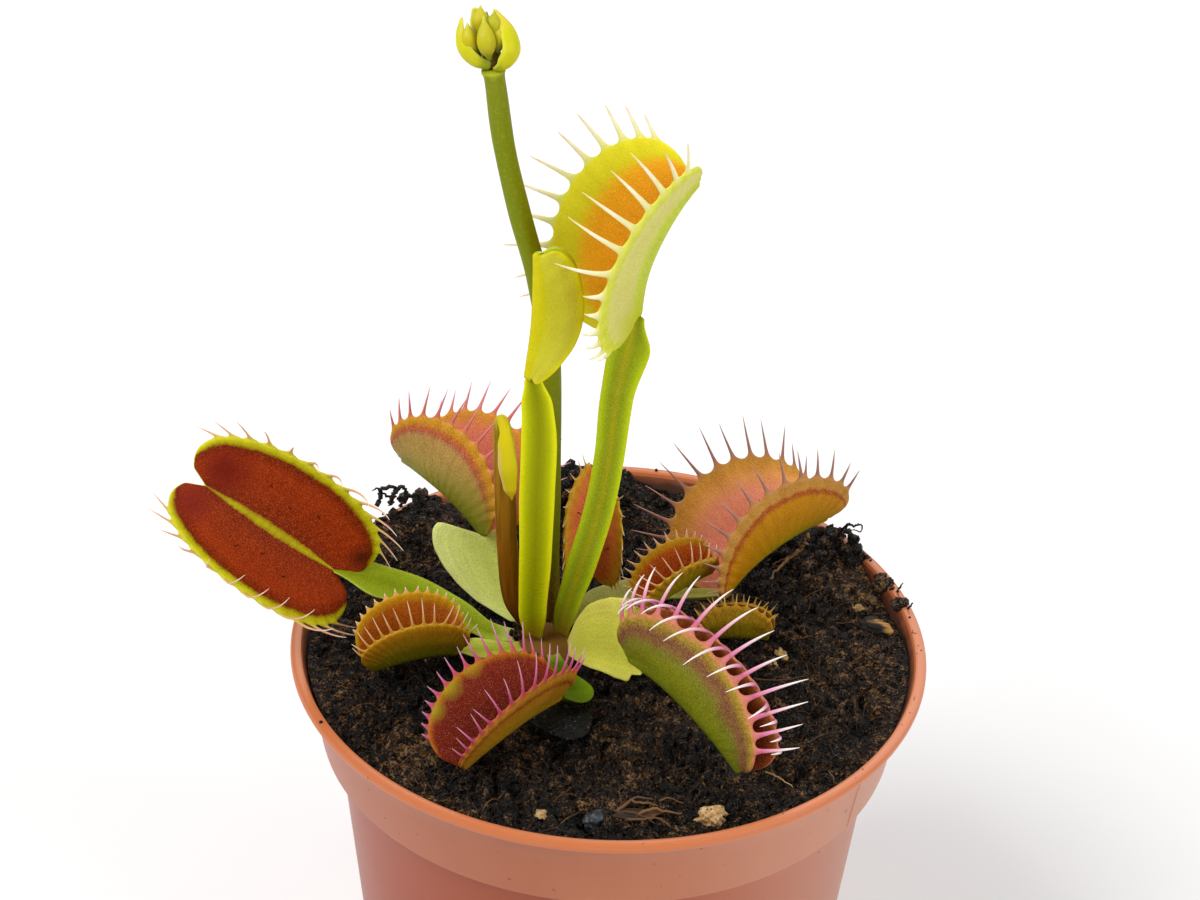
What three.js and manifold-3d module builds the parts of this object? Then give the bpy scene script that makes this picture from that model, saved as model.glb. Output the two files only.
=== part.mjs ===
// Potted Venus flytrap in a small round nursery pot.
// Millimetres, +Z up, origin at the middle of the pot's foot.
import * as THREE from 'three';
import { mergeVertices } from 'three/addons/utils/BufferGeometryUtils.js';
import Module from 'manifold-3d';

const wasm = await Module();
wasm.setup();

const { Vector3 } = THREE;
const RAD = Math.PI / 180;
const GAP = 0.3;                 // clearance kept between two pieces that touch

// ---- pot -------------------------------------------------------------------------------------
const POT = {
  height: 75, rimRadius: 45, lipWidth: 1.4,
  collarFoot: 61.4, collarFootRadius: 40.9, collarTopRadius: 44.0,
  bodyTopRadius: 38.5, footRadius: 31.9, wall: 1.0, floor: 1.3,
  drainHoles: 6, drainRadius: 3.5, drainCircle: 20, segments: 44,
};

// ---- soil ------------------------------------------------------------------------------------
const SOIL = { bottom: 1.7, level: 72.2, slices: 36, rings: [0, 9, 17, 25, 32, 38] };
// Low mounds and hollows of the soil: x, y, radius, height
const MOUNDS = [
  [-31, 28, 9, 4.2], [-4, 41, 8, 4.4], [0, -38, 16, 1.0], [-38, -6, 12, 1.2],
  [42, 2, 10, 0.9], [33, 27, 9, 3.6], [30, -22, 12, 0.6], [-12, -24, 9, -0.5],
];

// ---- crown: the white bulb that every leaf and the flower stalk grow from --------------------
const CROWN = { x: -9, y: 2, profile: [[0, 58], [2.6, 59], [4.8, 62], [5.6, 66], [5.1, 70], [4.5, 72.6], [3.2, 74], [0, 74.4]] };

// ---- leaves ----------------------------------------------------------------------------------
// A leaf is one piece: a winged stalk that ends in a trap of two lobes with teeth on the margin.
// stalk: points from the crown to the hinge, half widths on both sides and the way the blade faces.
// trap: hinge from base to tip, the way the mouth looks, depth of a lobe, angle of a lobe off the
// mouth direction at the hinge and at the margin, arch of the hinge, length of the lobe past the
// hinge's middle, teeth a lobe and their length, inward lean of the teeth, and how far one lobe's
// margin is slipped along the hinge. sweep carries a blade's wings forward past its middle line.
const LEAVES = {
  tall_leaf: {
    colour: 0x9dbb1c,
    stalk: {
      points: [[-7.0, 1.2, 74.8], [-6.1, 1.0, 80], [-4.2, 0.6, 88], [-2.2, 0.8, 96.7], [-1.0, 1.2, 105.4], [-0.3, 1.6, 115],
        [0.9, 1.9, 122.6], [2.2, 2.0, 127]],
      left: [1.1, 1.7, 2.1, 2.1, 2.1, 2.3, 2.6, 1.0], right: [1.1, 1.7, 2.1, 2.1, 2.1, 2.3, 3.2, 1.0],
      face: [-0.15, -1, 0.1], thick: 1.3, fold: 0.5,
    },
    trap: {
      base: [2.0, 2.0, 126.8], tip: [9.6, 4.9, 146], mouth: [-0.87, -0.30, 0.38], depth: 15.4,
      hinge: 44, margin: 46, arch: 0.6, reach: 0.61, teeth: 13, tooth: 7.0, lean: 0.25, slip: -1.3,
    },
  },
  left_leaf: {
    colour: 0xa3401c,
    stalk: {
      points: [[-13.5, 1.2, 74.1], [-17.3, 0.7, 75.2], [-22, 2.4, 77.4], [-28, 3.6, 79.6], [-33.5, 2.4, 82.4], [-39.3, 0.8, 85.3]],
      left: [1.1, 1.6, 2.2, 2.8, 3.4, 1.1], right: [1.1, 1.6, 2.0, 2.6, 2.6, 1.1],
      face: [0.2, -0.35, 1], thick: 1.3, fold: 0.6,
    },
    trap: {
      base: [-39, 0.7, 85], tip: [-56, -3.8, 101.6], mouth: [0.54, -0.77, 0.34], depth: 11.1,
      hinge: 82, margin: 47, arch: 0.07, reach: 0.68, teeth: 13, tooth: 5.5, lean: 0.35,
    },
  },
  small_left_leaf: {
    colour: 0xa08418,
    stalk: {
      points: [[-12.3, -1.0, 74.0], [-15.6, -3.6, 75.2], [-18.6, -4.7, 76.1], [-21.2, -5.5, 76.6]],
      left: [1.0, 1.7, 2.0, 0.9], right: [1.0, 1.7, 2.0, 0.9], face: [0, -0.2, 1], thick: 1.1, fold: 0.4,
    },
    trap: {
      base: [-20.9, -5.5, 76.4], tip: [-33.2, -9, 75.3], mouth: [-0.10, -0.03, 0.99], depth: 9.3,
      hinge: 32, margin: 18, arch: 0.27, reach: 0.57, teeth: 12, tooth: 4.6, lean: 0.1, rows: 2,
    },
  },
  front_leaf: {
    colour: 0xa85a1c,
    stalk: {
      points: [[-7.9, -2.3, 73.9], [-6.6, -7.4, 74.3], [-4.4, -12, 75.4], [-6.6, -15.4, 77.1]],
      left: [0.9, 1.6, 2.8, 1.0], right: [0.9, 1.6, 2.6, 1.0], face: [0, -0.15, 1], thick: 1.1, fold: 0.3,
    },
    trap: {
      base: [-6.4, -15.5, 77], tip: [-19.3, -28.5, 73.9], mouth: [-0.30, 0.07, 0.95], depth: 10.3,
      hinge: 43, margin: 37, arch: 0.2, reach: 0.57, teeth: 14, tooth: 6.0, lean: 0.15, rows: 2,
    },
  },
  front_right_leaf: {
    colour: 0x7f9a16,
    stalk: {
      points: [[-5.7, -1.0, 74.2], [-3.7, -3.5, 76.3], [-1.7, -5.8, 77.8], [0.5, -7.9, 78.9], [2.8, -10.0, 79.8]],
      left: [1.0, 4.4, 6.4, 7.4, 8.2, 8.2, 7.4, 5.4, 1.2], right: [1.0, 2.0, 2.8, 2.8, 3.0, 3.4, 3.9, 4.2, 1.2],
      face: [-0.79, -0.54, 0.31], thick: 1.2, fold: 0.4, sweep: 0.45,
    },
    trap: {
      base: [2.8, -10.1, 79.9], tip: [18.3, -28.0, 74.5], mouth: [0.32, 0, 0.95], depth: 11.7,
      hinge: 37, margin: -23, arch: 0.36, reach: 0.57, teeth: 13, tooth: 9.0, lean: 0.7, rows: 2,
    },
  },
  right_leaf: {
    colour: 0xb87838,
    stalk: {
      points: [[-5.3, 4.6, 74.2], [-0.8, 8.4, 75.0], [4, 11.2, 75.5], [10.5, 11, 75.6], [16.1, 9.8, 76.9]],
      left: [1.1, 3.4, 5.4, 1.6, 1.0], right: [1.1, 3.2, 3.2, 1.6, 1.0], face: [0, -0.1, 1], thick: 1.2, fold: 0.3,
    },
    trap: {
      base: [16.3, 9.7, 77], tip: [31, 20, 84.3], mouth: [-0.52, 0.15, 0.84], depth: 16.6,
      hinge: 76, margin: 9, arch: 0.62, reach: 0.57, teeth: 14, tooth: 6.5, lean: 0.05,
    },
  },
  middle_right_leaf: {
    colour: 0xa4611a,
    stalk: {
      points: [[-4.6, 2.8, 74.6], [-1.6, 2.9, 75.8], [2, 2.8, 77.6], [5.9, 2.5, 79.5]],
      left: [0.8, 1.5, 1.8, 0.9], right: [0.8, 1.2, 1.4, 0.9], face: [-0.1, -0.2, 1], thick: 1.1, fold: 0.3,
    },
    trap: {
      base: [5.6, 2.3, 79.4], tip: [14.3, 6.3, 83.7], mouth: [-0.37, -0.17, 0.91], depth: 6.6,
      hinge: 37, margin: 24, arch: 0.37, reach: 0.57, teeth: 11, tooth: 3.0, lean: 0.1, rows: 2,
    },
  },
  small_right_leaf: {
    colour: 0x6f6a10,
    stalk: {
      points: [[-4.25, 1.1, 73.2], [2, 0, 73.6], [8, 0.8, 74.4], [13.3, 1.7, 75.6]],
      left: [0.8, 1.4, 1.4, 0.8], right: [0.8, 1.4, 1.4, 0.8], face: [0, -0.1, 1], thick: 1.0, fold: 0.3,
    },
    trap: {
      base: [13.2, 1.5, 75.6], tip: [22.6, 0, 77], mouth: [-0.09, 0.35, 0.93], depth: 4.8,
      hinge: 46, margin: -24, arch: 0.14, reach: 0.57, teeth: 10, tooth: 1.9, lean: 0.2, rows: 2,
    },
  },
  back_left_leaf: {
    colour: 0xb08a30,
    stalk: {
      points: [[-12.6, 4.6, 74.2], [-15.3, 7.2, 77.1], [-17.2, 9.2, 80.9], [-18.2, 10.5, 84.9]],
      left: [1.2, 4.4, 6.4, 1.1], right: [1.2, 4.0, 5.6, 1.1], face: [-0.1, -0.75, 0.65], thick: 1.2, fold: 0.2,
    },
    trap: {
      base: [-18.2, 10.7, 85.1], tip: [-30.7, 20.2, 91.6], mouth: [0.56, 0.18, 0.81], depth: 14.8,
      hinge: 71, margin: 3, arch: 0.33, reach: 0.57, teeth: 13, tooth: 5.5, lean: 0.05, rows: 2,
    },
  },
  back_leaf: {
    colour: 0xa4651f,
    stalk: {
      points: [[-8.4, 6.5, 74.2], [-6.2, 10.2, 75.6], [-3.2, 11.2, 78.3]],
      left: [1.0, 1.3, 0.9], right: [1.0, 1.3, 0.9], face: [0, -0.3, 1], thick: 1.0, fold: 0.2,
    },
    trap: {
      base: [-2.9, 11.2, 78.2], tip: [-3.2, 11.7, 96.6], mouth: [0.05, -1, 0.03], depth: 6.1,
      hinge: 80, margin: 10, arch: 0.3, reach: 0.55, teeth: 11, tooth: 2.4, lean: 0.2, rows: 2,
    },
  },
  centre_leaf: {
    colour: 0xb5bd22,
    stalk: {
      points: [[-10.7, 0.4, 74.8], [-10.9, -0.4, 80], [-10.7, -0.8, 90], [-10.7, -1, 100], [-10.6, -1, 109], [-10.9, -1, 115],
        [-11.7, -1.4, 119.6]],
      left: [1.3, 2.0, 2.3, 2.5, 2.5, 2.3, 1.2], right: [1.3, 2.0, 2.3, 2.5, 2.5, 2.1, 1.2],
      face: [-0.1, -1, 0.1], thick: 1.4, fold: 0.7,
    },
    trap: {
      base: [-11.7, -1.4, 119.2], tip: [-10.4, -2.2, 138.6], mouth: [0.97, 0.1, 0.05], depth: 6.4,
      hinge: 28, margin: -12, arch: 0.12, reach: 0.53, teeth: 0, tooth: 0, lean: 0, rows: 3,
    },
  },
  young_leaf: {
    colour: 0x8a6a14,
    stalk: {
      points: [[-11.8, 3.5, 75.0], [-13.8, 2.5, 80], [-14.8, 2, 90], [-15.2, 2, 100], [-15.6, 2, 107.5], [-15.2, 1.9, 110.6]],
      left: [1.1, 1.4, 1.5, 1.5, 1.2, 0.8], right: [1.1, 1.4, 1.5, 1.5, 1.2, 0.8], face: [0.2, -1, 0.1], thick: 1.4, fold: 0.6,
    },
    trap: {
      base: [-15.2, 0.9, 110.7], tip: [-14.4, -0.8, 98.8], mouth: [0.9, 0.35, 0], depth: 1.7,
      hinge: 34, margin: -10, arch: 0.15, reach: 0.52, teeth: 0, tooth: 0, lean: 0, rows: 2,
    },
  },
};

// ---- flower stalk with its cluster of buds ---------------------------------------------------
const SCAPE = {
  radius: 1.5,
  points: [[-8.8, 4.3, 74.8], [-9.1, 4.6, 86], [-9.2, 4.6, 98], [-9.4, 4.6, 110], [-9.9, 4.5, 122], [-11.6, 4.3, 132],
    [-14.2, 4.1, 142], [-16.4, 4, 152], [-17.6, 4, 161.4]],
};
const BUD_BASE = [-18.3, 4, 162.4];
// Buds: seat on the stalk's head, direction, length and radius
const BUDS = {
  bud_left: { tip: [-21.2, 2.9, 168.0], radius: 0.85 },
  bud_back: { tip: [-20.1, 6.4, 168.6], radius: 0.85 },
  bud_right: { tip: [-16.0, 2.9, 168.2], radius: 0.85 },
  bud_top: { tip: [-17.1, 6.4, 168.8], radius: 0.85 },
  bud_front: { tip: [-18.7, 1.2, 168.4], radius: 0.85 },
  bud_middle: { tip: [-18.6, 3.9, 170.6], radius: 0.85 },
};
const BRACTS = {
  bract_left: { points: [[-20.1, 4.0, 162.6], [-22.3, 4.4, 164.6], [-22.9, 4.4, 167.6], [-22.2, 4.2, 170.6]], half: [0.8, 1.9, 1.7, 0.3] },
  bract_right: { points: [[-15.8, 4.0, 162.6], [-14.7, 4.6, 164.4], [-14.3, 4.8, 167.2], [-15.4, 5.0, 170.4]], half: [0.8, 1.7, 1.6, 0.3] },
  bract_back: { points: [[-18.1, 6.2, 162.4], [-18.4, 7.9, 163.8], [-19.2, 8.3, 166.8], [-20.2, 7.8, 169.6]], half: [0.8, 1.8, 1.6, 0.3] },
};

// ---- things lying in the soil ----------------------------------------------------------------
const STONES = {
  pale_stone: { at: [14.4, -34, 73.2], size: [2.6, 2.0, 1.7], turn: 10, colour: 0xb59a6c },
  dark_stone: { at: [-1.2, -36, 73.2], size: [1.7, 1.4, 1.2], turn: 40, colour: 0x3a4147 },
  bark_chip: { at: [38.3, 7.6, 73.1], size: [2.6, 1.5, 1.2], turn: -20, colour: 0x6b4a2e },
  bark_curl: { at: [4.8, -36, 73.2], size: [3.4, 1.1, 0.9], turn: 12, colour: 0x4a2f1a },
  old_leaf: { at: [-4.6, -19.6, 72.2], size: [3.6, 2.4, 0.9], turn: 25, colour: 0x23201f },
};

// ---- solids from grids of points -------------------------------------------------------------
class Solid {
  constructor() { this.points = []; this.faces = []; }
  add(p) { this.points.push(p.x, p.y, p.z); return this.points.length / 3 - 1; }
  tri(a, b, c) { this.faces.push(a, b, c); }
  quad(a, b, c, d) { this.tri(a, b, c); this.tri(a, c, d); }
  manifold() {
    const mesh = new wasm.Mesh({
      numProp: 3, vertProperties: new Float32Array(this.points), triVerts: new Uint32Array(this.faces),
    });
    mesh.merge();
    return new wasm.Manifold(mesh);
  }
}

function geometryOf(manifold) {
  const mesh = manifold.getMesh();
  const g = new THREE.BufferGeometry();
  const flat = new Float32Array(mesh.numVert * 3);
  for (let i = 0; i < mesh.numVert; i++) {
    for (let k = 0; k < 3; k++) flat[3 * i + k] = mesh.vertProperties[mesh.numProp * i + k];
  }
  g.setAttribute('position', new THREE.BufferAttribute(flat, 3));
  g.setIndex(Array.from(mesh.triVerts));
  g.computeVertexNormals();
  return g;
}

function manifoldOf(geometry) {
  const g = geometry.clone();
  for (const name of Object.keys(g.attributes)) if (name !== 'position') g.deleteAttribute(name);
  const m = mergeVertices(g, 1e-4);
  const mesh = new wasm.Mesh({
    numProp: 3, vertProperties: new Float32Array(m.attributes.position.array), triVerts: new Uint32Array(m.index.array),
  });
  mesh.merge();
  return new wasm.Manifold(mesh);
}

// Rings of equal point count joined one after the other, with both ends closed
function loft(rings) {
  const s = new Solid();
  const ids = rings.map((ring) => ring.map((p) => s.add(p)));
  const n = rings[0].length;
  for (let i = 0; i + 1 < rings.length; i++) {
    for (let j = 0; j < n; j++) {
      const k = (j + 1) % n;
      s.quad(ids[i][j], ids[i][k], ids[i + 1][k], ids[i + 1][j]);
    }
  }
  for (const [ring, pts, flip] of [[ids[0], rings[0], true], [ids.at(-1), rings.at(-1), false]]) {
    const mid = s.add(pts.reduce((a, p) => a.add(p), new Vector3()).divideScalar(n));
    for (let j = 0; j < n; j++) {
      const k = (j + 1) % n;
      if (flip) s.tri(mid, ring[k], ring[j]); else s.tri(mid, ring[j], ring[k]);
    }
  }
  return s;
}

// A blade along a curve: a thin leaf section with a raised midrib and wings folded up a little
function blade({ points, left, right, face, thick, fold, sweep = 0 }, stations = points.length * 2 - 1) {
  const curve = new THREE.CatmullRomCurve3(points.map((p) => new Vector3(...p)), false, 'centripetal');
  const up = new Vector3(...face).normalize();
  const profile = (list, t) => {
    const f = t * (list.length - 1), i = Math.min(Math.floor(f), list.length - 2);
    return THREE.MathUtils.lerp(list[i], list[i + 1], THREE.MathUtils.smoothstep(f - i, 0, 1));
  };
  const rings = [];
  for (let k = 0; k < stations; k++) {
    const t = k / (stations - 1);
    const at = curve.getPoint(t), along = curve.getTangent(t);
    const side = new Vector3().crossVectors(along, up).normalize();
    const out = new Vector3().crossVectors(side, along).normalize();
    const place = (a, b) => at.clone().addScaledVector(side, a).addScaledVector(out, b)
      .addScaledVector(along, Math.abs(a) * sweep);
    const l = profile(left, t), r = profile(right, t), edge = thick * 0.3;
    rings.push([
      place(-l, fold + edge), place(-l * 0.5, fold * 0.3 - thick * 0.05 + edge), place(0, thick * 0.25),
      place(r * 0.5, fold * 0.3 - thick * 0.05 + edge), place(r, fold + edge), place(r, fold - edge),
      place(r * 0.5, fold * 0.3 - thick * 0.45), place(0, -thick * 0.75), place(-l * 0.5, fold * 0.3 - thick * 0.45),
      place(-l, fold - edge),
    ]);
  }
  return loft(rings).manifold();
}

// ---- trap ------------------------------------------------------------------------------------
const THETA_START = -24, THETA_SPAN = 228;       // sweep of the lobe's edge round its middle, degrees
const TEETH_FROM = 14, TEETH_TO = 166;           // part of that sweep that carries teeth
const LOBE_CENTRE = 0.36;                        // height of the middle of the edge's arc, in lobe depths
const LOBE_THICK = [0.95, 0.6];                  // thickness at the hinge and at the margin
const HALF_SLIT = 0.25;                          // least half width of the slit between closed lobes

function trapSurface(t) {
  const base = new Vector3(...t.base), chord = new Vector3(...t.tip).sub(base);
  const reach = chord.length(), x = chord.normalize();
  const z = new Vector3(...t.mouth).addScaledVector(x, -x.dot(new Vector3(...t.mouth))).normalize();
  const y = new Vector3().crossVectors(z, x);
  const length = reach * t.arch / (2 * Math.sin(t.arch / 2));
  const bend = length / t.arch, a0 = t.hinge * RAD, turn = (t.margin - t.hinge) * RAD / t.depth;
  const x0 = length / 2 - bend * Math.sin(t.arch / 2), z0 = bend * Math.cos(t.arch / 2) - bend;
  const place = (p) => base.clone().addScaledVector(x, p.x).addScaledVector(y, p.y).addScaledVector(z, p.z);
  // u runs along the hinge from 0 to 1, v across from one margin (-1) over the hinge (0) to the other (1)
  const at = (u, v) => {
    const side = Math.sign(v), w = Math.abs(v), theta = (THETA_START + THETA_SPAN * u) * RAD;
    const slip = side > 0 ? (t.slip ?? 0) * w : 0;
    const along = THREE.MathUtils.lerp(u * length, length / 2 - t.reach * length * Math.cos(theta), w) + slip;
    const off = t.depth * (LOBE_CENTRE + (1 - LOBE_CENTRE) * Math.sin(theta)) * w;
    const a = a0 + turn * off;
    const py = side * (Math.cos(a0) - Math.cos(a)) / turn, pz = (Math.sin(a) - Math.sin(a0)) / turn;
    const g = (along - length / 2) / bend;
    return new Vector3(length / 2 + (bend + pz) * Math.sin(g) - x0, py, (bend + pz) * Math.cos(g) - bend - z0);
  };
  return { at, place };
}

function trap(t) {
  const { at, place } = trapSurface(t), rows = t.rows ?? 3, cells = Math.max(t.teeth, 5) * 2;
  const from = (TEETH_FROM - THETA_START) / THETA_SPAN, to = (TEETH_TO - THETA_START) / THETA_SPAN;
  const us = [0, from * 0.5];
  for (let i = 0; i <= cells; i++) us.push(from + (to - from) * i / cells);
  us.push(1 - from * 0.5, 1);
  const vs = [];
  for (let j = -rows; j <= rows; j++) vs.push(Math.sign(j) * (Math.abs(j) / rows) ** 0.85);
  const s = new Solid();
  const inner = [], outer = [];
  us.forEach((u) => {
    inner.push([]); outer.push([]);
    vs.forEach((v) => {
      const e = 0.01, p = at(u, v);
      const du = at(Math.min(u + e, 1), v).sub(at(Math.max(u - e, 0), v));
      const dv = at(u, Math.min(v + e, 1)).sub(at(u, Math.max(v - e, -1)));
      const n = new Vector3().crossVectors(du, dv).normalize();
      const h = THREE.MathUtils.lerp(LOBE_THICK[0], LOBE_THICK[1], Math.abs(v)) / 2;
      const a = p.clone().addScaledVector(n, v === 0 ? h / Math.max(Math.sin(t.hinge * RAD), 0.4) : h);
      if (v !== 0) a.y = Math.sign(v) * Math.max(a.y * Math.sign(v), HALF_SLIT * Math.abs(v));
      inner.at(-1).push(s.add(place(a)));
      outer.at(-1).push(s.add(place(p.clone().addScaledVector(n, -h))));
    });
  });
  const nu = us.length, nv = vs.length;
  for (let i = 0; i + 1 < nu; i++) {
    for (let j = 0; j + 1 < nv; j++) {
      s.quad(inner[i][j], inner[i + 1][j], inner[i + 1][j + 1], inner[i][j + 1]);
      s.quad(outer[i][j], outer[i][j + 1], outer[i + 1][j + 1], outer[i + 1][j]);
    }
  }
  for (let j = 0; j + 1 < nv; j++) {
    s.quad(inner[0][j], inner[0][j + 1], outer[0][j + 1], outer[0][j]);
    s.quad(inner[nu - 1][j + 1], inner[nu - 1][j], outer[nu - 1][j], outer[nu - 1][j + 1]);
  }
  for (let i = 0; i + 1 < nu; i++) {
    for (const side of [-1, 1]) {
      const j = side < 0 ? 0 : nv - 1;
      const q = side < 0 ? [inner[i][j], outer[i][j], outer[i + 1][j], inner[i + 1][j]]
        : [inner[i][j], inner[i + 1][j], outer[i + 1][j], outer[i][j]];
      const k = i - 2, toothed = t.teeth > 0 && k >= 0 && k < cells && (side < 0 ? k % 2 === 0 : k % 2 === 1);
      if (!toothed) { s.quad(...q); continue; }
      const u = (us[i] + us[i + 1]) / 2, p = at(u, side), out = p.clone().sub(at(u, side * 0.85)).normalize();
      const tangent = at(u + 0.01, side).sub(at(u - 0.01, side));
      const inward = new Vector3().crossVectors(tangent, out).multiplyScalar(side).normalize();
      const size = t.tooth * (0.55 + 0.45 * Math.sin(Math.PI * (k + 0.5) / cells));
      const apex = s.add(place(p.addScaledVector(out, size * Math.cos(t.lean)).addScaledVector(inward, size * Math.sin(t.lean))));
      for (let m = 0; m < 4; m++) s.tri(q[m], q[(m + 1) % 4], apex);
    }
  }
  return s.manifold();
}

// ---- assembly --------------------------------------------------------------------------------
const plant = new THREE.Group();
plant.name = 'potted_venus_flytrap';
function put(name, manifold, colour, roughness = 0.55) {
  const mesh = new THREE.Mesh(geometryOf(manifold), new THREE.MeshStandardMaterial({ color: colour, roughness, metalness: 0 }));
  mesh.name = name;
  plant.add(mesh);
}

function lathe(profile, segments) {
  const g = new THREE.LatheGeometry(profile.map(([r, z]) => new THREE.Vector2(r, z)), segments);
  g.rotateX(Math.PI / 2);
  return manifoldOf(g);
}

// Inner wall of the pot, from the floor to the rim
const potInside = [
  [POT.footRadius - POT.wall, POT.floor],
  [POT.bodyTopRadius - POT.wall, POT.collarFoot - 1.2],
  [POT.collarFootRadius - POT.wall, POT.collarFoot + 0.6],
  [POT.collarFootRadius + 0.1, POT.collarFoot + 7.6],
  [POT.collarTopRadius - 1.3, POT.height - 2.2],
];

function makePot() {
  const { height: h, rimRadius: R, collarFoot: c } = POT;
  const outside = [
    [0, 0], [POT.footRadius - 1, 0], [POT.footRadius, 1.1], [POT.bodyTopRadius, c - 0.8], [POT.bodyTopRadius + 0.7, c - 0.1],
    [POT.collarFootRadius - 0.4, c], [POT.collarFootRadius, c + 0.5], [POT.collarFootRadius + 1.1, c + 7.6],
    [POT.collarTopRadius - 0.6, h - 2], [R - 0.3, h - 1.6], [R - 0.6, h - 1.2], [R, h - 0.9], [R, h - 0.4],
    [R - 0.4, h], [R - POT.lipWidth, h], [R - POT.lipWidth - 0.4, h - 0.5],
  ];
  let pot = lathe([...outside, ...potInside.slice().reverse(), [0, POT.floor]], POT.segments);
  for (let i = 0; i < POT.drainHoles; i++) {
    const a = 2 * Math.PI * i / POT.drainHoles;
    const hole = wasm.Manifold.cylinder(6, POT.drainRadius, POT.drainRadius, 14, true)
      .translate([POT.drainCircle * Math.cos(a), POT.drainCircle * Math.sin(a), 0]);
    pot = pot.subtract(hole);
  }
  return pot;
}

function soilHeight(x, y) {
  return MOUNDS.reduce((z, [mx, my, r, h]) => z + h * Math.exp(-((x - mx) ** 2 + (y - my) ** 2) / (r * r)), SOIL.level);
}

function wallRadius(z) {
  for (let i = 0; i + 1 < potInside.length; i++) {
    const [r0, z0] = potInside[i], [r1, z1] = potInside[i + 1];
    if (z <= z1) return r0 + (r1 - r0) * Math.max(z - z0, 0) / (z1 - z0);
  }
  return potInside.at(-1)[0];
}

function makeSoil() {
  const s = new Solid(), n = SOIL.slices;
  const ring = (radius, height) => Array.from({ length: n }, (_, i) => {
    const a = 2 * Math.PI * i / n;
    const x = radius(a) * Math.cos(a), y = radius(a) * Math.sin(a);
    return s.add(new Vector3(x, y, height(x, y)));
  });
  const wall = (z) => wallRadius(z) - GAP - 0.2;
  const edge = (a) => wall(soilHeight(42 * Math.cos(a), 42 * Math.sin(a)));
  const rings = [ring(() => wall(SOIL.bottom), () => SOIL.bottom)];
  for (const [, z] of potInside.slice(1, 4)) rings.push(ring(() => wall(z), () => z));
  rings.push(ring(edge, soilHeight));
  for (const r of SOIL.rings.slice(1).reverse()) rings.push(ring(() => r, soilHeight));
  const floor = s.add(new Vector3(0, 0, SOIL.bottom)), top = s.add(new Vector3(0, 0, soilHeight(0, 0)));
  for (let k = 0; k + 1 < rings.length; k++) {
    for (let i = 0; i < n; i++) {
      const j = (i + 1) % n;
      s.quad(rings[k][i], rings[k][j], rings[k + 1][j], rings[k + 1][i]);
    }
  }
  for (let i = 0; i < n; i++) {
    const j = (i + 1) % n;
    s.tri(floor, rings[0][j], rings[0][i]);
    s.tri(top, rings.at(-1)[i], rings.at(-1)[j]);
  }
  return s.manifold();
}

function makeCrown(grow) {
  const profile = CROWN.profile.map(([r, z], i) => {
    if (i === 0) return [0, z - grow];
    if (i === CROWN.profile.length - 1) return [0, z + grow];
    return [r + grow, z];
  });
  return lathe(profile, 20).translate([CROWN.x, CROWN.y, 0]);
}

function makeStone({ at, size, turn }, grow) {
  const g = new THREE.IcosahedronGeometry(1, 1);
  const p = g.attributes.position;
  for (let i = 0; i < p.count; i++) {
    const v = new Vector3().fromBufferAttribute(p, i);
    const k = 1 + 0.12 * Math.sin(5 * v.x + 3 * v.y + at[0]) * Math.cos(4 * v.z + at[1]);
    p.setXYZ(i, v.x * (size[0] * k + grow), v.y * (size[1] * k + grow), v.z * (size[2] * k + grow));
  }
  return manifoldOf(g).rotate([0, 0, turn]).translate(at);
}

function makeBud({ tip, radius }) {
  const base = new Vector3(...BUD_BASE), axis = new Vector3(...tip).sub(base), length = axis.length();
  axis.normalize();
  const start = 1.75;
  const profile = [[0, start], [0.3, start], [0.4, length * 0.42], [radius * 0.75, length * 0.56], [radius, length * 0.74],
    [radius * 0.7, length * 0.92], [0, length]];
  const g = new THREE.LatheGeometry(profile.map(([r, z]) => new THREE.Vector2(r, z)), 10);
  g.applyQuaternion(new THREE.Quaternion().setFromUnitVectors(new Vector3(0, 1, 0), axis));
  g.translate(base.x, base.y, base.z);
  return manifoldOf(g);
}

function makeScape() {
  const curve = new THREE.CatmullRomCurve3(SCAPE.points.map((p) => new Vector3(...p)), false, 'centripetal');
  const disc = new THREE.Shape().absarc(0, 0, SCAPE.radius, 0, 2 * Math.PI);
  const stem = manifoldOf(new THREE.ExtrudeGeometry(disc, {
    curveSegments: 7, steps: 14, bevelEnabled: false, extrudePath: curve,
  }));
  const head = manifoldOf(new THREE.SphereGeometry(1.5, 12, 6).translate(-17.9, 4, 162));
  return stem.add(head);
}

const stones = Object.entries(STONES);
let soil = makeSoil().subtract(makeCrown(GAP * 1.5));
for (const [, spec] of stones) soil = soil.subtract(makeStone(spec, GAP));
put('nursery_pot', makePot(), 0xb9663c, 0.4);
put('soil', soil, 0x2a1f18, 0.95);
put('crown', makeCrown(0), 0xd9cfa8, 0.6);
for (const [name, spec] of stones) put(name, makeStone(spec, 0), spec.colour, 0.8);
for (const [name, leaf] of Object.entries(LEAVES)) {
  put(name, blade(leaf.stalk).add(trap(leaf.trap)), leaf.colour, 0.5);
}
put('flower_stalk', makeScape(), 0x6d8a2a, 0.5);
for (const [name, spec] of Object.entries(BRACTS)) {
  put(name, blade({ points: spec.points, left: spec.half, right: spec.half, face: [spec.points[1][0] + 18, -0.6, 0.2],
    thick: 0.7, fold: -0.3 }, 6), 0x9fb53a, 0.5);
}
for (const [name, spec] of Object.entries(BUDS)) put(name, makeBud(spec), 0xc3c43a, 0.5);

export default plant;
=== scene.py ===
import math
from contextlib import contextmanager

import bpy
import numpy as np
from bpy.props import FloatProperty, FloatVectorProperty, IntProperty, PointerProperty
from mathutils import Matrix, Vector, noise


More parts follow.
